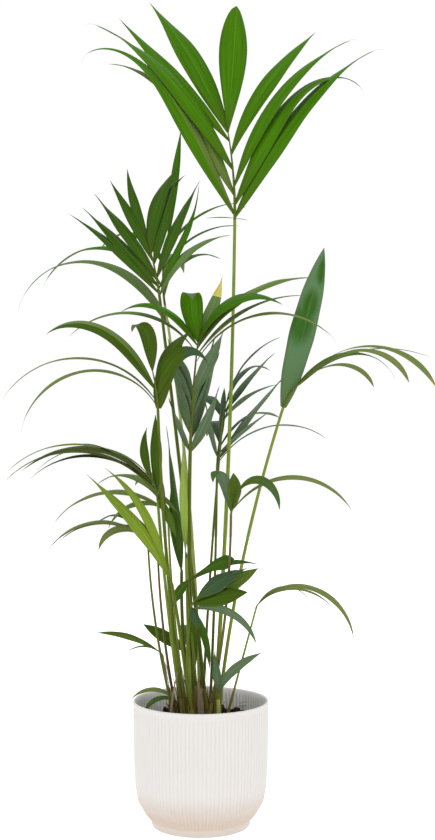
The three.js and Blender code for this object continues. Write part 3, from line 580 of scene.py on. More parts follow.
def leaf_material(name, colour, dark, nerve, roughness, sheen=0.0, nerve_depth=0.1, painted_sheen=None):
    """Palm leaf lamina: a waxy skin over many fine nerves that run the blade's length.

    The nerves give the long soft streaks in its gloss; the midrib is a little paler.
    Its last argument is the greyish colour of a painted reflection of the pale room, laid over the
    lamina and left off in patches that stand for darker reflections.
    """
    tree, body = new_material(
        name, Base_Color=colour, Roughness=roughness, IOR=1.45,
        Specular_IOR_Level=0.08, Coat_Weight=sheen, Coat_Roughness=0.42)
    place = add_node(tree, "UVMap", uv_map="blade")
    axes = add_node(tree, "SeparateXYZ", {0: place})
    across, along = axes.outputs[:2]
    # Streaks one nerve or two wide and about 80 mm long
    wide = add_node(tree, "Math", {0: across, 1: BLADE_NERVES / 2}, operation="MULTIPLY")
    spot = add_node(tree, "CombineXYZ", {0: wide, 1: along})
    streak = add_node(tree, "TexNoise",
                      {"Vector": spot, "Scale": 1.0, "Detail": 3.0, "Roughness": 0.6})
    light = add_node(tree, "MapRange", {0: streak, 1: 0.3, 2: 0.7, 3: 0.0, 4: 1.0})
    lamina = add_node(tree, "Mix", {0: light, 6: dark, 7: colour}, data_type="RGBA")
    share = add_node(tree, "UVMap", uv_map="share")
    from_root = add_node(tree, "SeparateXYZ", {0: share})
    # A painted reflection over the lamina, with painted darker reflections where it is left off
    if painted_sheen:
        lamina = add_painted_sheen(tree, across, from_root, lamina, painted_sheen)
    # The midrib, about a fiftieth of the blade's width to each side of its middle
    off = add_node(tree, "Math", {0: across, 1: 0.5}, operation="SUBTRACT")
    away = add_node(tree, "Math", {0: off}, operation="ABSOLUTE")
    rib = add_node(tree, "MapRange", {0: away, 1: 0.006, 2: 0.022, 3: 0.5, 4: 0.0})
    ribbed = add_node(tree, "Mix", {0: rib, 6: lamina, 7: nerve}, data_type="RGBA")
    # The margin is a little brown, and so is the root where it joins the rib
    margin = add_node(tree, "MapRange", {0: away, 1: 0.455, 2: 0.49, 3: 0.0, 4: 0.5})
    root = add_node(tree, "MapRange", {0: from_root, 1: 0.0, 2: 0.3, 3: 0.45, 4: 0.0})
    brown = add_node(tree, "Math", {0: margin, 1: root}, operation="MAXIMUM")
    tinted = add_node(tree, "Mix", {0: brown, 6: ribbed, 7: LEAF_BROWN}, data_type="RGBA")
    # Nerves as fine ridges, which fade in and out with the streaks
    turns = add_node(tree, "Math", {0: across, 1: BLADE_NERVES * 2 * math.pi},
                     operation="MULTIPLY")
    ridges = add_node(tree, "Math", {0: turns}, operation="SINE")
    uneven = add_node(tree, "Math", {0: ridges, 1: streak}, operation="MULTIPLY")
    bump = add_node(tree, "Bump",
                    {"Height": uneven, "Strength": 0.55, "Distance": nerve_depth * MM})
    gloss = add_node(tree, "MapRange",
                     {0: streak, 1: 0.25, 2: 0.8, 3: roughness + 0.08, 4: roughness - 0.06})
    connect(tree, body, {"Base Color": tinted, "Normal": bump, "Roughness": gloss})


def add_painted_sheen(tree, across, from_root, lamina, painted_sheen):
    """Lays a painted reflection over a lamina, left off in soft patches that show the green under
    it as painted darker reflections.
    """
    long = add_node(tree, "Math", {0: from_root, 1: SHEEN_LEAF_SLENDERNESS}, operation="MULTIPLY")
    spot = add_node(tree, "CombineXYZ", {0: across, 1: long})
    left = None
    for place, reach in DARK_REFLECTION_PATCHES:
        centre = (place[0], place[1] * SHEEN_LEAF_SLENDERNESS, 0)
        away = add_node(tree, "VectorMath", {0: spot, 1: centre}, operation="DISTANCE")
        waxy = add_node(tree, "MapRange", {0: away, 1: reach * 0.35, 2: reach, 3: 0.0, 4: 0.95},
                        interpolation_type="SMOOTHSTEP")
        if left:
            waxy = add_node(tree, "Math", {0: left, 1: waxy}, operation="MINIMUM")
        left = waxy
    return add_node(tree, "Mix", {0: left, 6: lamina, 7: painted_sheen}, data_type="RGBA")


def stalk_material(name, colour, dark):
    """Petiole skin: smooth and slightly waxy, with faint long fibres that are darker between. That
    dark is deepened in part as painted shade among the stems.
    """
    tree, body = new_material(
        name, Base_Color=colour, Roughness=0.4, IOR=1.45, Specular_IOR_Level=0.1)
    place = add_node(tree, "UVMap", uv_map="blade")
    stretch = add_node(tree, "VectorMath", {0: place, 1: (*STALK_FIBRES, 1.0)},
                       operation="MULTIPLY")
    fibre = add_node(tree, "TexNoise",
                     {"Vector": stretch, "Scale": 1.0, "Detail": 4.0, "Roughness": 0.6})
    share = add_node(tree, "MapRange", {0: fibre, 1: 0.32, 2: 0.62, 3: 0.0, 4: 1.0})
    skin = add_node(tree, "Mix", {0: share, 6: dark, 7: colour}, data_type="RGBA")
    bump = add_node(tree, "Bump", {"Height": fibre, "Strength": 0.4, "Distance": 0.2 * MM})
    connect(tree, body, {"Base Color": skin, "Normal": bump})


def sheath_material(name, colour, dark, pale):
    """Dead palm sheath: matt, papery and split along its fibres, which fade to grey."""
    tree, body = new_material(
        name, Base_Color=colour, Roughness=0.85, IOR=1.45, Specular_IOR_Level=0.25)
    place = add_node(tree, "UVMap", uv_map="blade")
    stretch = add_node(tree, "VectorMath", {0: place, 1: (*SHEATH_FIBRES, 1.0)},
                       operation="MULTIPLY")
    fibre = add_node(tree, "TexNoise",
                     {"Vector": stretch, "Scale": 1.0, "Detail": 6.0, "Roughness": 0.7})
    ramp = add_node(tree, "ValToRGB", {0: fibre})
    first, last = ramp.color_ramp.elements
    first.position, first.color = 0.32, hex_colour(dark)
    last.position, last.color = 0.7, hex_colour(pale)
    ramp.color_ramp.elements.new(0.5).color = hex_colour(colour)
    bump = add_node(tree, "Bump", {"Height": fibre, "Strength": 0.8, "Distance": 0.5 * MM})
    connect(tree, body, {"Base Color": ramp, "Normal": bump})


def pot_material(name, wall, low, grooves=None):
    """Moulded polypropylene: matt off-white with a faint grain, and a darker, warm cast low down
    on the wall, which is weaker on the foot ring.

    low: the colour of that cast
    grooves: the colour of the painted shade between the ribs, as thin upright lines
    """
    tree, body = new_material(
        name, Base_Color=wall, Roughness=0.5, IOR=1.49, Specular_IOR_Level=0.3)
    place = add_node(tree, "TexCoord")
    axes = add_node(tree, "SeparateXYZ", {0: place.outputs["Object"]})
    height = axes.outputs[2]
    # Darker and warmer low on the wall, fading out upwards, with less of it on the foot ring
    above = add_node(tree, "MapRange",
                     {0: height, 1: CAST_FROM * MM, 2: CAST_TO * MM, 3: 0.0, 4: 1.0},
                     interpolation_type="SMOOTHSTEP")
    foot = add_node(tree, "MapRange",
                    {0: height, 1: FOOT_FROM * MM, 2: FOOT_TO * MM, 3: 0.5, 4: 0.0},
                    interpolation_type="SMOOTHSTEP")
    wall_share = add_node(tree, "Math", {0: above, 1: foot}, operation="MAXIMUM")
    cloud = add_node(tree, "TexNoise",
                     {"Vector": place.outputs["Object"], "Scale": WEAR_CLOUDS, "Detail": 3.0})
    uneven = add_node(tree, "MapRange", {0: cloud, 1: 0.3, 2: 0.7, 3: -0.06, 4: 0.06})
    share = add_node(tree, "Math", {0: wall_share, 1: uneven}, operation="ADD", use_clamp=True)
    tinted = add_node(tree, "Mix", {0: share, 6: low, 7: wall}, data_type="RGBA")
    # Painted shade in the grooves between the ribs
    if grooves:
        tinted = add_groove_shade(tree, axes, tinted, grooves)
    grain = add_node(tree, "TexNoise", {"Vector": place.outputs["Object"],
                                        "Scale": 1 / (MOULD_GRAIN * MM), "Detail": 2.0})
    bump = add_node(tree, "Bump", {"Height": grain, "Strength": 0.25, "Distance": 0.08 * MM})
    worn = add_node(tree, "MapRange", {0: cloud, 1: 0.3, 2: 0.7, 3: 0.46, 4: 0.56})
    connect(tree, body, {"Base Color": tinted, "Normal": bump, "Roughness": worn})


def add_groove_shade(tree, axes, wall, shade_colour):
    """Paints shade into the grooves between the ribs, up to where the ribs run out below the rim.
    """
    x, y, height = axes.outputs
    turn = add_node(tree, "Math", {0: y, 1: x}, operation="ARCTAN2")
    phase = add_node(tree, "Math", {0: turn, 1: RIBS / 2}, operation="MULTIPLY")
    wave = add_node(tree, "Math", {0: phase}, operation="SINE")
    rib = add_node(tree, "Math", {0: wave}, operation="ABSOLUTE")
    groove = add_node(tree, "MapRange", {0: rib, 1: 0.1, 2: 0.8, 3: 1.0, 4: 0.0})
    below = add_node(tree, "MapRange", {0: height, 1: (RIBS_TO - RIBS_FADE) * MM,
                                        2: RIBS_TO * MM, 3: 1.0, 4: 0.0})
    share = add_node(tree, "Math", {0: groove, 1: below}, operation="MULTIPLY")
    return add_node(tree, "Mix", {0: share, 6: wall, 7: shade_colour}, data_type="RGBA")


def mix_material(name, colour, pale):
    """Peat and bark potting mix: very dark and matt, with fine crumbs."""
    tree, body = new_material(
        name, Base_Color=colour, Roughness=0.95, IOR=1.4, Specular_IOR_Level=0.2)
    place = add_node(tree, "TexCoord")
    crumbs = add_node(tree, "TexNoise", {"Vector": place.outputs["Object"],
                                         "Scale": 1 / (FINE_CRUMB * MM), "Detail": 6.0,
                                         "Roughness": 0.75})
    share = add_node(tree, "MapRange", {0: crumbs, 1: 0.45, 2: 0.75, 3: 0.0, 4: 1.0})
    tinted = add_node(tree, "Mix", {0: share, 6: colour, 7: pale}, data_type="RGBA")
    bump = add_node(tree, "Bump", {"Height": crumbs, "Strength": 0.9, "Distance": 1.2 * MM})
    connect(tree, body, {"Base Color": tinted, "Normal": bump})


def paper_material(name):
    """Seamless studio paper: pale, matt, with the faintest cloudiness.

    It glows a little, as paper does that is lit from all round.
    """
    tree, body = new_material(
        name, Base_Color="f4f3f2", Roughness=0.9, Specular_IOR_Level=0.1,
        Emission_Color="ffffff", Emission_Strength=0.55)
    place = add_node(tree, "TexCoord")
    cloud = add_node(tree, "TexNoise", {"Vector": place.outputs["Object"],
                                        "Scale": PAPER_CLOUDS, "Detail": 2.0})
    tinted = add_node(tree, "Mix", {0: cloud, 6: "f3f2f1", 7: "f7f6f6"}, data_type="RGBA")
    connect(tree, body, {"Base Color": tinted})


def make_materials():
    """Every finish of the palm and its pot, under the name that the pieces ask for."""
    for name, finish in LEAF_FINISHES.items():
        leaf_material(f"leaf_{name}", *finish)
    for name, finish in STALK_FINISHES.items():
        stalk_material(f"stalk_{name}", *finish)
    for name, finish in SHEATH_FINISHES.items():
        sheath_material(name, *finish)
    pot_material("pot_moulded_plastic", "cfccc9", "bdafa2")
    # The inside is a lighter copy of the same plastic: painted light against the shade inside the
    # pot, with painted shade in its grooves
    pot_material("pot_inside_painted_light", "f6f4f2", "f6f4f2", grooves="cfcdca")
    mix_material("peat_mix", "2a1d19", "4a3830")
    mix_material("bark_crumb", "3a2820", "6b5546")


def bend(start, handle, end, t):
    """Points of a quadratic curve, and its directions there."""
    t = np.atleast_1d(t)[:, None]
    points = (1 - t) ** 2 * start + 2 * t * (1 - t) * handle + t * t * end
    ways = 2 * (1 - t) * (handle - start) + 2 * t * (end - handle)
    return points, ways / np.linalg.norm(ways, axis=1, keepdims=True)


def distances(points):
    """How far along a line each of its points lies."""
    return np.concatenate([[0], np.cumsum(np.linalg.norm(np.diff(points, axis=0), axis=1))])


def grid_map(u, lengths):
    """The map of a grid: u across it, and its length along it, in map units."""
    return np.stack(np.broadcast_arrays(u[None, :], lengths[:, None]), axis=-1)


def stalk_curves(frond):
    """The three points of the petiole's curve, and of the rib's that goes on from it."""
    foot = np.array([*frond["foot"], MIX_TOP], float)
    collar = np.array(frond["collar"], float)
    middle = (foot + collar) / 2
    middle[:2] += 2 * np.array(frond["bow"], float)
    tip = np.array(frond["tip"], float)
    way = (collar - middle) / np.linalg.norm(collar - middle)
    handle = collar + way * np.linalg.norm(tip - collar) / 2
    return (foot, middle, collar), (collar, handle, tip)


def leaf_width(s, shape):
    """Width along a leaflet as a share of its greatest."""
    shoulder, point = shape

    def outline(share):
        return (share + LEAF_ROOT) ** shoulder * (1 - share) ** point

    fullest = (shoulder - LEAF_ROOT * point) / (shoulder + point)
    return outline(s) / outline(fullest)


def leaf_frame(root, leaf, s):
    """Centre line of a leaflet with its direction, its crosswise way and its upper normal."""
    bearing = math.radians(leaf["bearing"])
    climb = np.radians(leaf["rise"] - leaf["droop"] * s ** leaf["ease"])
    along = np.stack([np.cos(climb) * math.cos(bearing), np.cos(climb) * math.sin(bearing),
                      np.sin(climb)], axis=1)
    side = np.array([-math.sin(bearing), math.cos(bearing), 0.0])
    upper = np.cross(along, side)
    roll = np.radians(leaf["roll"] * (1 - s * s) + leaf["twist"] * s + leaf["turned"])[:, None]
    across = side * np.cos(roll) + upper * np.sin(roll)
    steps = np.diff(s)[:, None] * leaf["length"]
    path = np.vstack([np.zeros(3), np.cumsum((along[1:] + along[:-1]) / 2 * steps, axis=0)])
    # The solid adds up whole steps from their starts, which carries it a little outwards
    path -= leaf["length"] / PATH_STEPS / 2 * (along - along[0])
    sway = leaf["sway"] * np.sin(math.pi * s)[:, None] * side
    return root + path + sway, along, across, np.cross(along, across)


class Mesh:
    """Collects points, faces, their materials and their maps, for one joined mesh."""

    def __init__(self):
        self.points, self.faces, self.slots, self.maps, self.shares = [], [], [], [], []
        self.count = 0

    def add_skin(self, rings, uv, slots, ends=None, flip=False, share=None):
        """A closed skin over rings that all have the same even number of points.

        slots: the material of each face, of each ring's faces or of all
        ends: the materials of both ends, if they aren't those of the faces beside them
        flip: True for rings that turn the other way round
        share: for each ring, the place along a leaflet from 0 to 1
        """
        count, columns = rings.shape[:2]
        number = self.count + np.arange(count * columns).reshape(count, columns)
        self.points.append(rings.reshape(-1, 3))
        self.count += number.size
        share = np.zeros(count) if share is None else share
        order = [0, 3, 2, 1] if flip else [0, 1, 2, 3]

        def corners(values):
            beside = np.roll(values, -1, axis=1)
            return np.stack([values[:-1], beside[:-1], beside[1:], values[1:]], axis=2)[:, :, order]

        slots = np.broadcast_to(slots, (count - 1, columns))
        self.faces.append(corners(number).reshape(-1, 4))
        self.maps.append(corners(uv).reshape(-1, 2))
        self.slots.append(slots.ravel())
        self.shares.append(corners(np.repeat(share[:, None], columns, axis=1)).ravel())
        turn = 1 if flip else -1
        first, last = ends or (slots[0, 0], slots[-1, 0])
        self.close_end(number[0][::turn], uv[0][::turn], first, share[0])
        self.close_end(number[-1][::-turn], uv[-1][::-turn], last, share[-1])

    def close_end(self, ring, uv, slot, share):
        """Closes a ring with a ladder of faces."""
        last = len(ring) - 1
        for k in range(len(ring) // 2 - 1):
            corners = [k, k + 1, last - 1 - k, last - k]
            self.faces.append(ring[corners][None])
            self.maps.append(uv[corners])
            self.slots.append(np.array([slot]))
            self.shares.append(np.full(4, share))

    def build(self, name, materials):
        """Makes the mesh an object. The map share carries the place along a leaflet twice."""
        points = np.concatenate(self.points) * MM
        faces = np.concatenate(self.faces)
        mesh = bpy.data.meshes.new(name)
        mesh.vertices.add(len(points))
        mesh.vertices.foreach_set("co", points.ravel())
        mesh.loops.add(faces.size)
        mesh.loops.foreach_set("vertex_index", faces.ravel())
        mesh.polygons.add(len(faces))
        mesh.polygons.foreach_set("loop_start", np.arange(0, faces.size, 4))
        mesh.polygons.foreach_set("material_index", np.concatenate(self.slots))
        mesh.polygons.foreach_set("use_smooth", np.ones(len(faces), bool))
        layer = mesh.uv_layers.new(name="blade")
        layer.data.foreach_set("uv", np.concatenate(self.maps).ravel())
        layer = mesh.uv_layers.new(name="share")
        layer.data.foreach_set("uv", np.repeat(np.concatenate(self.shares), 2))
        mesh.update(calc_edges=True)
        mesh.validate()
        for material in materials:
            mesh.materials.append(bpy.data.materials[material])
        piece = bpy.data.objects.new(name, mesh)
        bpy.context.scene.collection.objects.link(piece)
        return piece


def add_leaflet(mesh, root, leaf, tops, under, tip):
    """One closed blade: a low roof in section, with the midrib along its ridge.

    tops, under and tip are the numbers of its materials; tops has one for each half.
    """
    steps = max(LEAF_STEPS_LEAST, round(leaf["length"] / LEAF_STEP))
    s = np.linspace(0, 1, steps + 1)
    centre, along, across, normal = leaf_frame(root, leaf, s)
    half = np.maximum(HALF_LEAST, leaf["width"] / 2 * leaf_width(s, leaf["shape"]))
    if leaf["thread"]:
        centre, along, across, normal, half, s = add_thread(
            centre, along, across, normal, half, s, leaf["thread"])
    half = half[:, None]
    v = np.array(LEAF_COLUMNS)
    # The halves fall away from the midrib, steeply at the root and hardly at all further on
    fall = leaf["fold"] * (FOLD_KEPT + (1 - FOLD_KEPT) * np.exp(-s / FOLD_LENGTH))[:, None]
    waves = np.sin(2 * math.pi * (s * leaf["waves"] + leaf["phase"]))[:, None]
    lift = half * (-np.abs(v) * fall - MARGIN_DROOP * v ** 2 + MARGIN_WAVE * waves * v * np.abs(v))
    ridge = np.exp(-(v / MIDRIB_WIDTH) ** 2) * np.minimum(MIDRIB_RISE, half * MIDRIB_MOST)
    thick = np.minimum(LEAF_THICK, half * THICK_MOST) * (1 - MARGIN_THINNING * np.abs(v))
    upper = (centre[:, None] + across[:, None] * (v * half)[..., None]
             + normal[:, None] * (lift + ridge)[..., None])
    lower = upper - normal[:, None] * (thick + ridge * MIDRIB_KEEL)[..., None]
    ring = np.concatenate([upper, lower[:, ::-1]], axis=1)
    u = (np.concatenate([v, v[::-1]]) + 1) / 2
    uv = grid_map(u, s * leaf["length"] / UV_LENGTH + leaf["phase"] * STREAKS_APART)
    add_blade(mesh, ring, uv, s, leaf, (tops, under, tip), len(v))


def add_thread(centre, along, across, normal, half, s, length):
    """Carries the tip on as a thin dry thread that sags a little."""
    reach = np.linspace(0, 1, THREAD_STEPS + 1)[1:, None]
    way = along[-1] + np.array([0, 0, -THREAD_SAG]) * reach
    more = centre[-1] + way * length * reach
    # Its map goes on past the blade's end, so that all of it is dry
    shares = s[-1] + reach[:, 0] * THREAD_SHARE
    width = HALF_LEAST - THREAD_THINNING * reach[:, 0]
    repeat = np.ones((THREAD_STEPS, 1))
    return (np.vstack([centre, more]), np.vstack([along, way]),
            np.vstack([across, across[-1] * repeat]), np.vstack([normal, normal[-1] * repeat]),
            np.concatenate([half, width]), np.concatenate([s, shares]))


def add_blade(mesh, ring, uv, s, leaf, slots, columns):
    """Skins the rings of a blade: upper and lower faces, its edges and both ends."""
    tops, under, tip = slots
    row = ring.shape[1]
    faces = np.full((len(s) - 1, row), tops[0])
    faces[:, columns // 2:columns] = tops[1]
    faces[:, columns:row - 1] = under
    faces[s[:-1] >= leaf["dry_from"]] = tip
    mesh.add_skin(ring, uv, faces, ends=(under, tip), flip=True, share=s)


def add_tube(mesh, points, ways, radii, slots, uv_start=0.0, sides=STALK_SIDES, flat=0.0):
    """A closed stalk through points.

    slots: its material, or that of each step; flat: how far its upper face is flattened
    """
    across = np.cross(np.array([0.0, 1.0, 0.0]), ways)
    across /= np.linalg.norm(across, axis=1, keepdims=True)
    front = np.cross(ways, across)
    turn = np.arange(sides) / sides * 2 * math.pi
    squash = 1 - flat * np.maximum(0, np.sin(turn)) ** 2
    ring = (points[:, None] + across[:, None] * (np.cos(turn) * radii[:, None])[..., None]
            + front[:, None] * (np.sin(turn) * squash * radii[:, None])[..., None])
    u = np.abs(np.linspace(-1, 1, sides, endpoint=False))
    uv = grid_map(u, distances(points) / UV_LENGTH + uv_start)
    mesh.add_skin(ring, uv, slots)


def frond_leaflets(frond):
    """The leaflets of a frond, with the small differences that no two of them share."""
    for row in frond["leaflets"]:
        drawn = {name: rng.uniform(*ends) for name, ends in DRAWN_LEAFLET.items()}
        yield PLAIN_LEAFLET | drawn | row
    for row in EXTRA_LEAFLETS.get(frond["name"], ()):
        yield PLAIN_EXTRA | dict(phase=rng.uniform(*DRAWN_LEAFLET["phase"])) | row


def build_frond(frond):
    """The leaflets of one frond, which stand for the frond's solid.

    A leaflet whose row says alone is a piece by itself, so that its pattern keeps its place.
    """
    leaflets = list(frond_leaflets(frond))
    alone = [leaf for leaf in leaflets if leaf["alone"]]
    build_leaflets(frond, [leaf for leaf in leaflets if not leaf["alone"]], "leaflets")
    if alone:
        build_leaflets(frond, alone, "broad_leaflet")


def build_leaflets(frond, leaflets, kind):
    """Some of a frond's leaflets as one piece."""
    rib = stalk_curves(frond)[1]
    finishes = []
    mesh = Mesh()

    def slot(finish):
        if finish not in finishes:
            finishes.append(finish)
        return finishes.index(finish)

    for leaf in leaflets:
        root = bend(*rib, leaf["at"])[0][0]
        tint = leaf.get("tint", frond["tint"])
        halves = (tint, tint) if isinstance(tint, str) else tint
        under = slot(frond.get("under", "underside"))
        add_leaflet(mesh, root, leaf, [slot(half) for half in halves], under, slot(leaf["tip"]))
    piece = mesh.build(f"{kind}_{frond['name']}", [f"leaf_{finish}" for finish in finishes])
    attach(piece, "root")
    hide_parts(f"frond_{frond['name']}")


def build_stalk(frond):
    """Petiole and rib as one tapering stalk in its sheathing base."""
    petiole, rib = stalk_curves(frond)
    base, top = frond["thick"]
    length = np.linalg.norm(petiole[2] - petiole[0])
    steps = max(STALK_STEPS_LEAST, round(length / STALK_STEP))
    t = np.linspace(0, 1, steps + 1)
    points, ways = bend(*petiole, t)
    swell = np.maximum(0, 1 - t / SHEATH_LENGTH)
    radii = (base + (top - base) * t) * (1 + (SHEATH_SWELL - 1) * swell)
    rib_steps = max(RIB_STEPS_LEAST, round(np.linalg.norm(rib[2] - rib[0]) / RIB_STEP))
    rib_t = np.linspace(0, 1, rib_steps + 1)[1:]
    rib_points, rib_ways = bend(*rib, rib_t)
    mesh = Mesh()
    slots = np.repeat([[PETIOLE], [RIB]], [steps, rib_steps], axis=0)
    add_tube(mesh, np.vstack([points, rib_points]), np.vstack([ways, rib_ways]),
             np.concatenate([radii, top * (1 - RIB_TAPER * rib_t)]), slots,
             uv_start=rng.uniform(0, 50), flat=STALK_FLAT)
    add_sheath(mesh, petiole, base, length)
    add_strands(mesh, petiole, base, length)
    piece = mesh.build(f"stalk_{frond['name']}", [
        f"stalk_{frond.get('stalk', 'olive')}", "stalk_sheath", "stalk_olive", "dry_strand"])
    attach(piece, "root")
    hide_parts(f"petiole_{frond['name']}")


def add_sheath(mesh, petiole, base, length):
    """The brown sheathing base, which closes round the petiole and runs out along it."""
    reach = min(SHEATH_MOST, rng.uniform(*SHEATH_REACH) / length)
    t = np.linspace(0, reach, SHEATH_RINGS)
    points, ways = bend(*petiole, t)
    radii = base * (SHEATH_FOOT + (SHEATH_EDGE - SHEATH_FOOT) * (t / reach) ** SHEATH_EASE)
    radii[-1] = base * SHEATH_TUCK
    add_tube(mesh, points, ways, radii, SHEATH, uv_start=rng.uniform(0, 50))


def add_strands(mesh, petiole, base, length):
    """Dry brown fibres that peel off the torn edge of a sheathing base."""
    for _ in range(strand_rng.integers(*STRAND_COUNTS)):
        reach = min(STRAND_MOST, strand_rng.uniform(*STRAND_REACH) / length)
        t = np.linspace(0, reach, SHEATH_RINGS)
        points, ways = bend(*petiole, t)
        s = t / reach
        turn = strand_rng.uniform(0, 2 * math.pi)
        outwards = np.array([math.cos(turn), math.sin(turn), 0.0])
        peel = strand_rng.uniform(*STRAND_PEEL) * s ** 2
        points = points + outwards * (base * STRAND_FOOT + peel)[:, None]
        radii = strand_rng.uniform(*STRAND_RADII) * (1 - STRAND_TAPER * s)
        add_tube(mesh, points, ways, radii, STRAND, sides=STRAND_SIDES)


def profile_points(profile, step):
    """Points a step apart along a profile, with its corners a little rounded."""
    corners = np.array(profile, float)
    lengths = distances(corners)
    places = np.union1d(np.arange(0, lengths[-1], step), lengths)
    line = np.stack([np.interp(places, lengths, corners[:, k]) for k in (0, 1)], axis=1)
    for _ in range(WALL_SMOOTHING):
        line[1:-1] = line[1:-1] * 0.5 + (line[:-2] + line[2:]) * 0.25
    return line


def build_pot():
    """The pot's wall, ribbed outside and inside between a plain rim and a plain foot."""
    outer = profile_points(POT_OUTSIDE[1:], WALL_STEP)
    inner = profile_points(POT_INSIDE[:-1], LINING_STEP)
    floor = POT_INSIDE[-1][0]
    line = np.vstack([[(0, radius) for radius in FLOOR_RINGS], outer, inner,
                      [(floor, radius) for radius in FLOOR_RINGS[::-1]]])
    height, radius = line[:, 0], line[:, 1]
    # 1 outside, -1 inside, 0 under the foot
    face = np.repeat([0, 1, -1], [len(FLOOR_RINGS), len(outer), len(inner) + len(FLOOR_RINGS)])
    fade = np.clip((height - RIBS_FROM) / RIBS_FADE, 0, 1) * np.clip(
        (RIBS_TO - height) / RIBS_FADE, 0, 1)
    turn = np.arange(RIBS * RIB_COLUMNS) / (RIBS * RIB_COLUMNS) * 2 * math.pi
    # Rounded ribs that meet in narrow grooves
    relief = np.abs(np.sin(turn * RIBS / 2)) ** RIB_FLATNESS - RIB_LEVEL
    around = radius[:, None] + RIB_DEPTH * (fade * face)[:, None] * relief
    points = np.stack([around * np.cos(turn), around * np.sin(turn),
                       np.repeat(height[:, None], len(turn), axis=1)], axis=-1)
    uv = grid_map(turn, distances(line) / UV_LENGTH)
    mesh = Mesh()
    mesh.add_skin(points, uv, np.where(face[1:, None] < 0, LINING, WALL))
    piece = mesh.build("ribbed_pot", ["pot_moulded_plastic", "pot_inside_painted_light"])
    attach(piece, "root")
    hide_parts("pot")


def mix_height(radius):
    """Height of the mix's top between its lumps, so far from the pot's axis."""
    return MIX_TOP - MIX_FALL * max(0, (radius - MIX_LEVEL_TO) / MIX_FALL_WIDTH)


def build_mix():
    """The mix's crumbled top over its filled body, with loose crumbs, clods and root fibres."""
    mesh = Mesh()
    add_mix_body(mesh)
    add_loose_crumbs(mesh)
    add_clods(mesh)
    add_fibres(mesh)
    piece = mesh.build("crumbled_mix", ["peat_mix", "bark_crumb"])
    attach(piece, "root")
    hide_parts("potting_mix")


def add_mix_body(mesh):
    """The body's lumpy top and its wall, which narrows towards its foot inside the pot."""
    turn = np.arange(MIX_COLUMNS) / MIX_COLUMNS * 2 * math.pi
    points = np.zeros((MIX_RINGS + 1, MIX_COLUMNS, 3))
    for row, radius in enumerate(np.linspace(MIX_CENTRE, MIX_EDGE, MIX_RINGS)):
        for column, angle in enumerate(turn):
            x, y = radius * math.cos(angle), radius * math.sin(angle)
            lump = noise.fractal(Vector((x, y, 0)) / MIX_LUMP, *LUMP_NOISE)
            points[row, column] = (x, y, mix_height(radius) + lump * MIX_RELIEF)
    height, radius = MIX_FOOT
    points[-1] = np.stack([radius * np.cos(turn), radius * np.sin(turn),
                           np.full(MIX_COLUMNS, height)], axis=-1)
    mesh.add_skin(points, points[..., :2] / UV_LENGTH, PEAT, flip=True)


def add_loose_crumbs(mesh):
    """Crumbs that lie all over the mix."""
    for seed in range(LOOSE_CRUMBS):
        angle, reach = rng.uniform(0, 2 * math.pi), LOOSE_REACH * math.sqrt(rng.uniform(0, 1))
        size = rng.uniform(*LOOSE_SIZES) * np.array(
            [rng.uniform(*LOOSE_LONG), rng.uniform(*LOOSE_BROAD), LOOSE_TALL])
        height = mix_height(reach) + rng.uniform(*LOOSE_LIFT)
        add_crumb(mesh, (reach * math.cos(angle), reach * math.sin(angle), height), size, seed)


def add_clods(mesh):
    """Heaps of crumbs, which are wide at the foot and narrow at the top."""
    for x, y, wide, tall in CLODS:
        for seed in range(CLOD_SEED, CLOD_SEED + CLOD_CRUMBS):
            share = rng.uniform(0, 1)
            off = rng.normal(0, CLOD_SPREAD, 2) * wide * (1 - CLOD_TAPER * share)
            size = rng.uniform(*CLOD_SIZES) * np.array([CLOD_LONG, 1, 1])
            add_crumb(mesh, (x + off[0], y + off[1], MIX_TOP + tall * share), size, seed)


def add_crumb(mesh, centre, size, seed):
    """A crumb of bark or peat: a lumpy ball of a given size on each axis."""
    lat = np.linspace(-1, 1, CRUMB_ROWS)[:, None] * math.pi / 2 * CRUMB_LATITUDE
    lon = np.arange(CRUMB_COLUMNS) / CRUMB_COLUMNS * 2 * math.pi
    unit = np.stack(np.broadcast_arrays(
        np.cos(lat) * np.cos(lon), np.cos(lat) * np.sin(lon), np.sin(lat)), axis=-1)
    dents = np.array([[noise.noise(Vector(p) * CRUMB_DENTS + Vector((seed, 0, 0))) for p in line]
                      for line in unit])
    points = np.array(centre) + unit * size * (1 + CRUMB_DENT * dents)[..., None]
    mesh.add_skin(points, points[..., :2] / UV_LENGTH, PEAT if seed % BARK_EVERY else BARK)


def add_fibres(mesh):
    """Short root fibres that lie on the mix and stick out of its clods."""
    for number in range(FIBRES):
        if number % CLOD_FIBRE_EVERY == 0:
            x, y, wide, tall = CLODS[number % len(CLODS)]
            start = np.array([x, y, MIX_TOP + tall * CLOD_FIBRE_PLACE])
            start += rng.normal(0, wide / 4, 3)
            rise = rng.uniform(0, CLOD_FIBRE_RISE)
        else:
            angle, reach = rng.uniform(0, 2 * math.pi), MIX_LEVEL_TO * math.sqrt(rng.uniform(0, 1))
            start = np.array([reach * math.cos(angle), reach * math.sin(angle),
                              MIX_TOP + FIBRE_LIFT])
            rise = rng.uniform(0, FIBRE_RISE)
        way = np.array([rng.normal(), rng.normal(), 0])
        way = way / np.linalg.norm(way) + np.array([0, 0, rise])
        length = rng.uniform(*FIBRE_LENGTHS)
        t = np.linspace(0, 1, FIBRE_RINGS)
        bow = np.cross(way, (0, 0, 1)) * rng.uniform(-FIBRE_BOW, FIBRE_BOW)
        points = start + way * (t * length)[:, None] + bow * (t * (1 - t) * 4)[:, None]
        points[:, 2] -= FIBRE_SAG * t ** 2
        ways = np.gradient(points, axis=0)
        ways /= np.linalg.norm(ways, axis=1, keepdims=True)
        radii = FIBRE_RADIUS * (1 - FIBRE_TAPER * t)
        add_tube(mesh, points, ways, radii, BARK, sides=STRAND_SIDES)


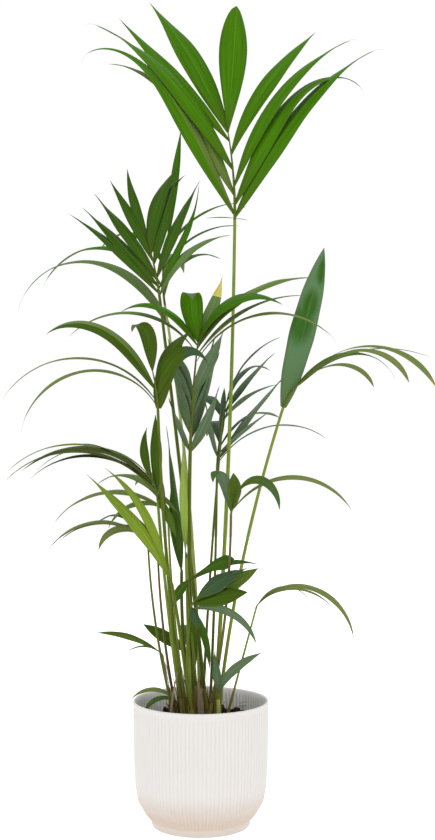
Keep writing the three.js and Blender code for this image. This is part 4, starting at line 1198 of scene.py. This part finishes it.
def build_dry_sheath(number, sheath):
    """A dead leaf base: a curled papery strip that narrows to a torn point."""
    s = np.linspace(0, 1, DRY_ROWS)[:, None]
    v = np.linspace(-1, 1, DRY_COLUMNS)
    half = sheath["width"] / 2 * (1 - DRY_TAPER * s * s)
    x, y = sheath["foot"]
    torn = np.array([[noise.noise(Vector((a * DRY_TEARS, number * DRY_SEED, 0)))] for a in s[:, 0]])
    front = np.stack(np.broadcast_arrays(
        x + sheath["lean"] * s ** 2 + half * v * (1 + DRY_TEAR * torn),
        y + DRY_CURL * half * (1 - v ** 2) + torn,
        MIX_TOP + sheath["height"] * s + DRY_EDGE_RISE * v ** 2 * s), axis=-1)
    back = front + np.array([0, DRY_THICKNESS, 0])
    ring = np.concatenate([front, back[:, ::-1]], axis=1)
    u = (np.concatenate([v, v[::-1]]) + 1) / 2
    uv = grid_map(u, s[:, 0] * sheath["height"] / UV_LENGTH + number)
    mesh = Mesh()
    mesh.add_skin(ring, uv, 0)
    piece = mesh.build(f"dry_strip_{number}", ["papery_sheath"])
    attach(piece, "root")
    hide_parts(f"dry_sheath_{number}")


def build_floor():
    """A pale paper floor under the plant."""
    reach = FLOOR_SIZE / 2
    points = [(-reach, -reach, 0), (reach, -reach, 0), (reach, reach, 0), (-reach, reach, 0)]
    mesh = bpy.data.meshes.new("paper_floor")
    mesh.from_pydata(points, [], [(0, 1, 2, 3)])
    paper_material("studio_paper")
    mesh.materials.append(bpy.data.materials["studio_paper"])
    floor = bpy.data.objects.new("paper_floor", mesh)
    bpy.context.scene.collection.objects.link(floor)


def build_room():
    """A room that is white all round."""
    world = bpy.data.worlds.new("white_room")
    world.use_nodes = True
    world.node_tree.nodes["Background"].inputs["Color"].default_value = (1, 1, 1, 1)
    bpy.context.scene.world = world


def build_lights():
    """Large soft boxes in front, at the right and above."""
    for name, (place, aim, width, power) in SOFT_BOXES.items():
        data = bpy.data.lights.new(name, "AREA")
        data.shape = "DISK"
        data.size = width
        data.energy = power
        lamp = bpy.data.objects.new(name, data)
        lamp.location = place
        lamp.rotation_euler = (Vector(aim) - Vector(place)).to_track_quat("-Z", "Y").to_euler()
        bpy.context.scene.collection.objects.link(lamp)


def build_camera():
    """A camera at the plant's middle height, which looks a little down."""
    data = bpy.data.cameras.new("camera")
    data.sensor_width = FILM
    data.lens = FILM * FOCAL_LENGTH / IMAGE_HEIGHT
    camera = bpy.data.objects.new("camera", data)
    camera.location = CAMERA_PLACE
    camera.rotation_euler = (math.radians(90 - CAMERA_DIP), 0, 0)
    bpy.context.scene.collection.objects.link(camera)
    bpy.context.scene.camera = camera


make_materials()
for frond in FRONDS:
    build_stalk(frond)
    build_frond(frond)
build_pot()
build_mix()
for number, sheath in enumerate(DRY_SHEATHS, start=1):
    build_dry_sheath(number, sheath)
build_floor()
build_room()
build_lights()
build_camera()

bpy.context.scene.view_settings.view_transform = "Standard"
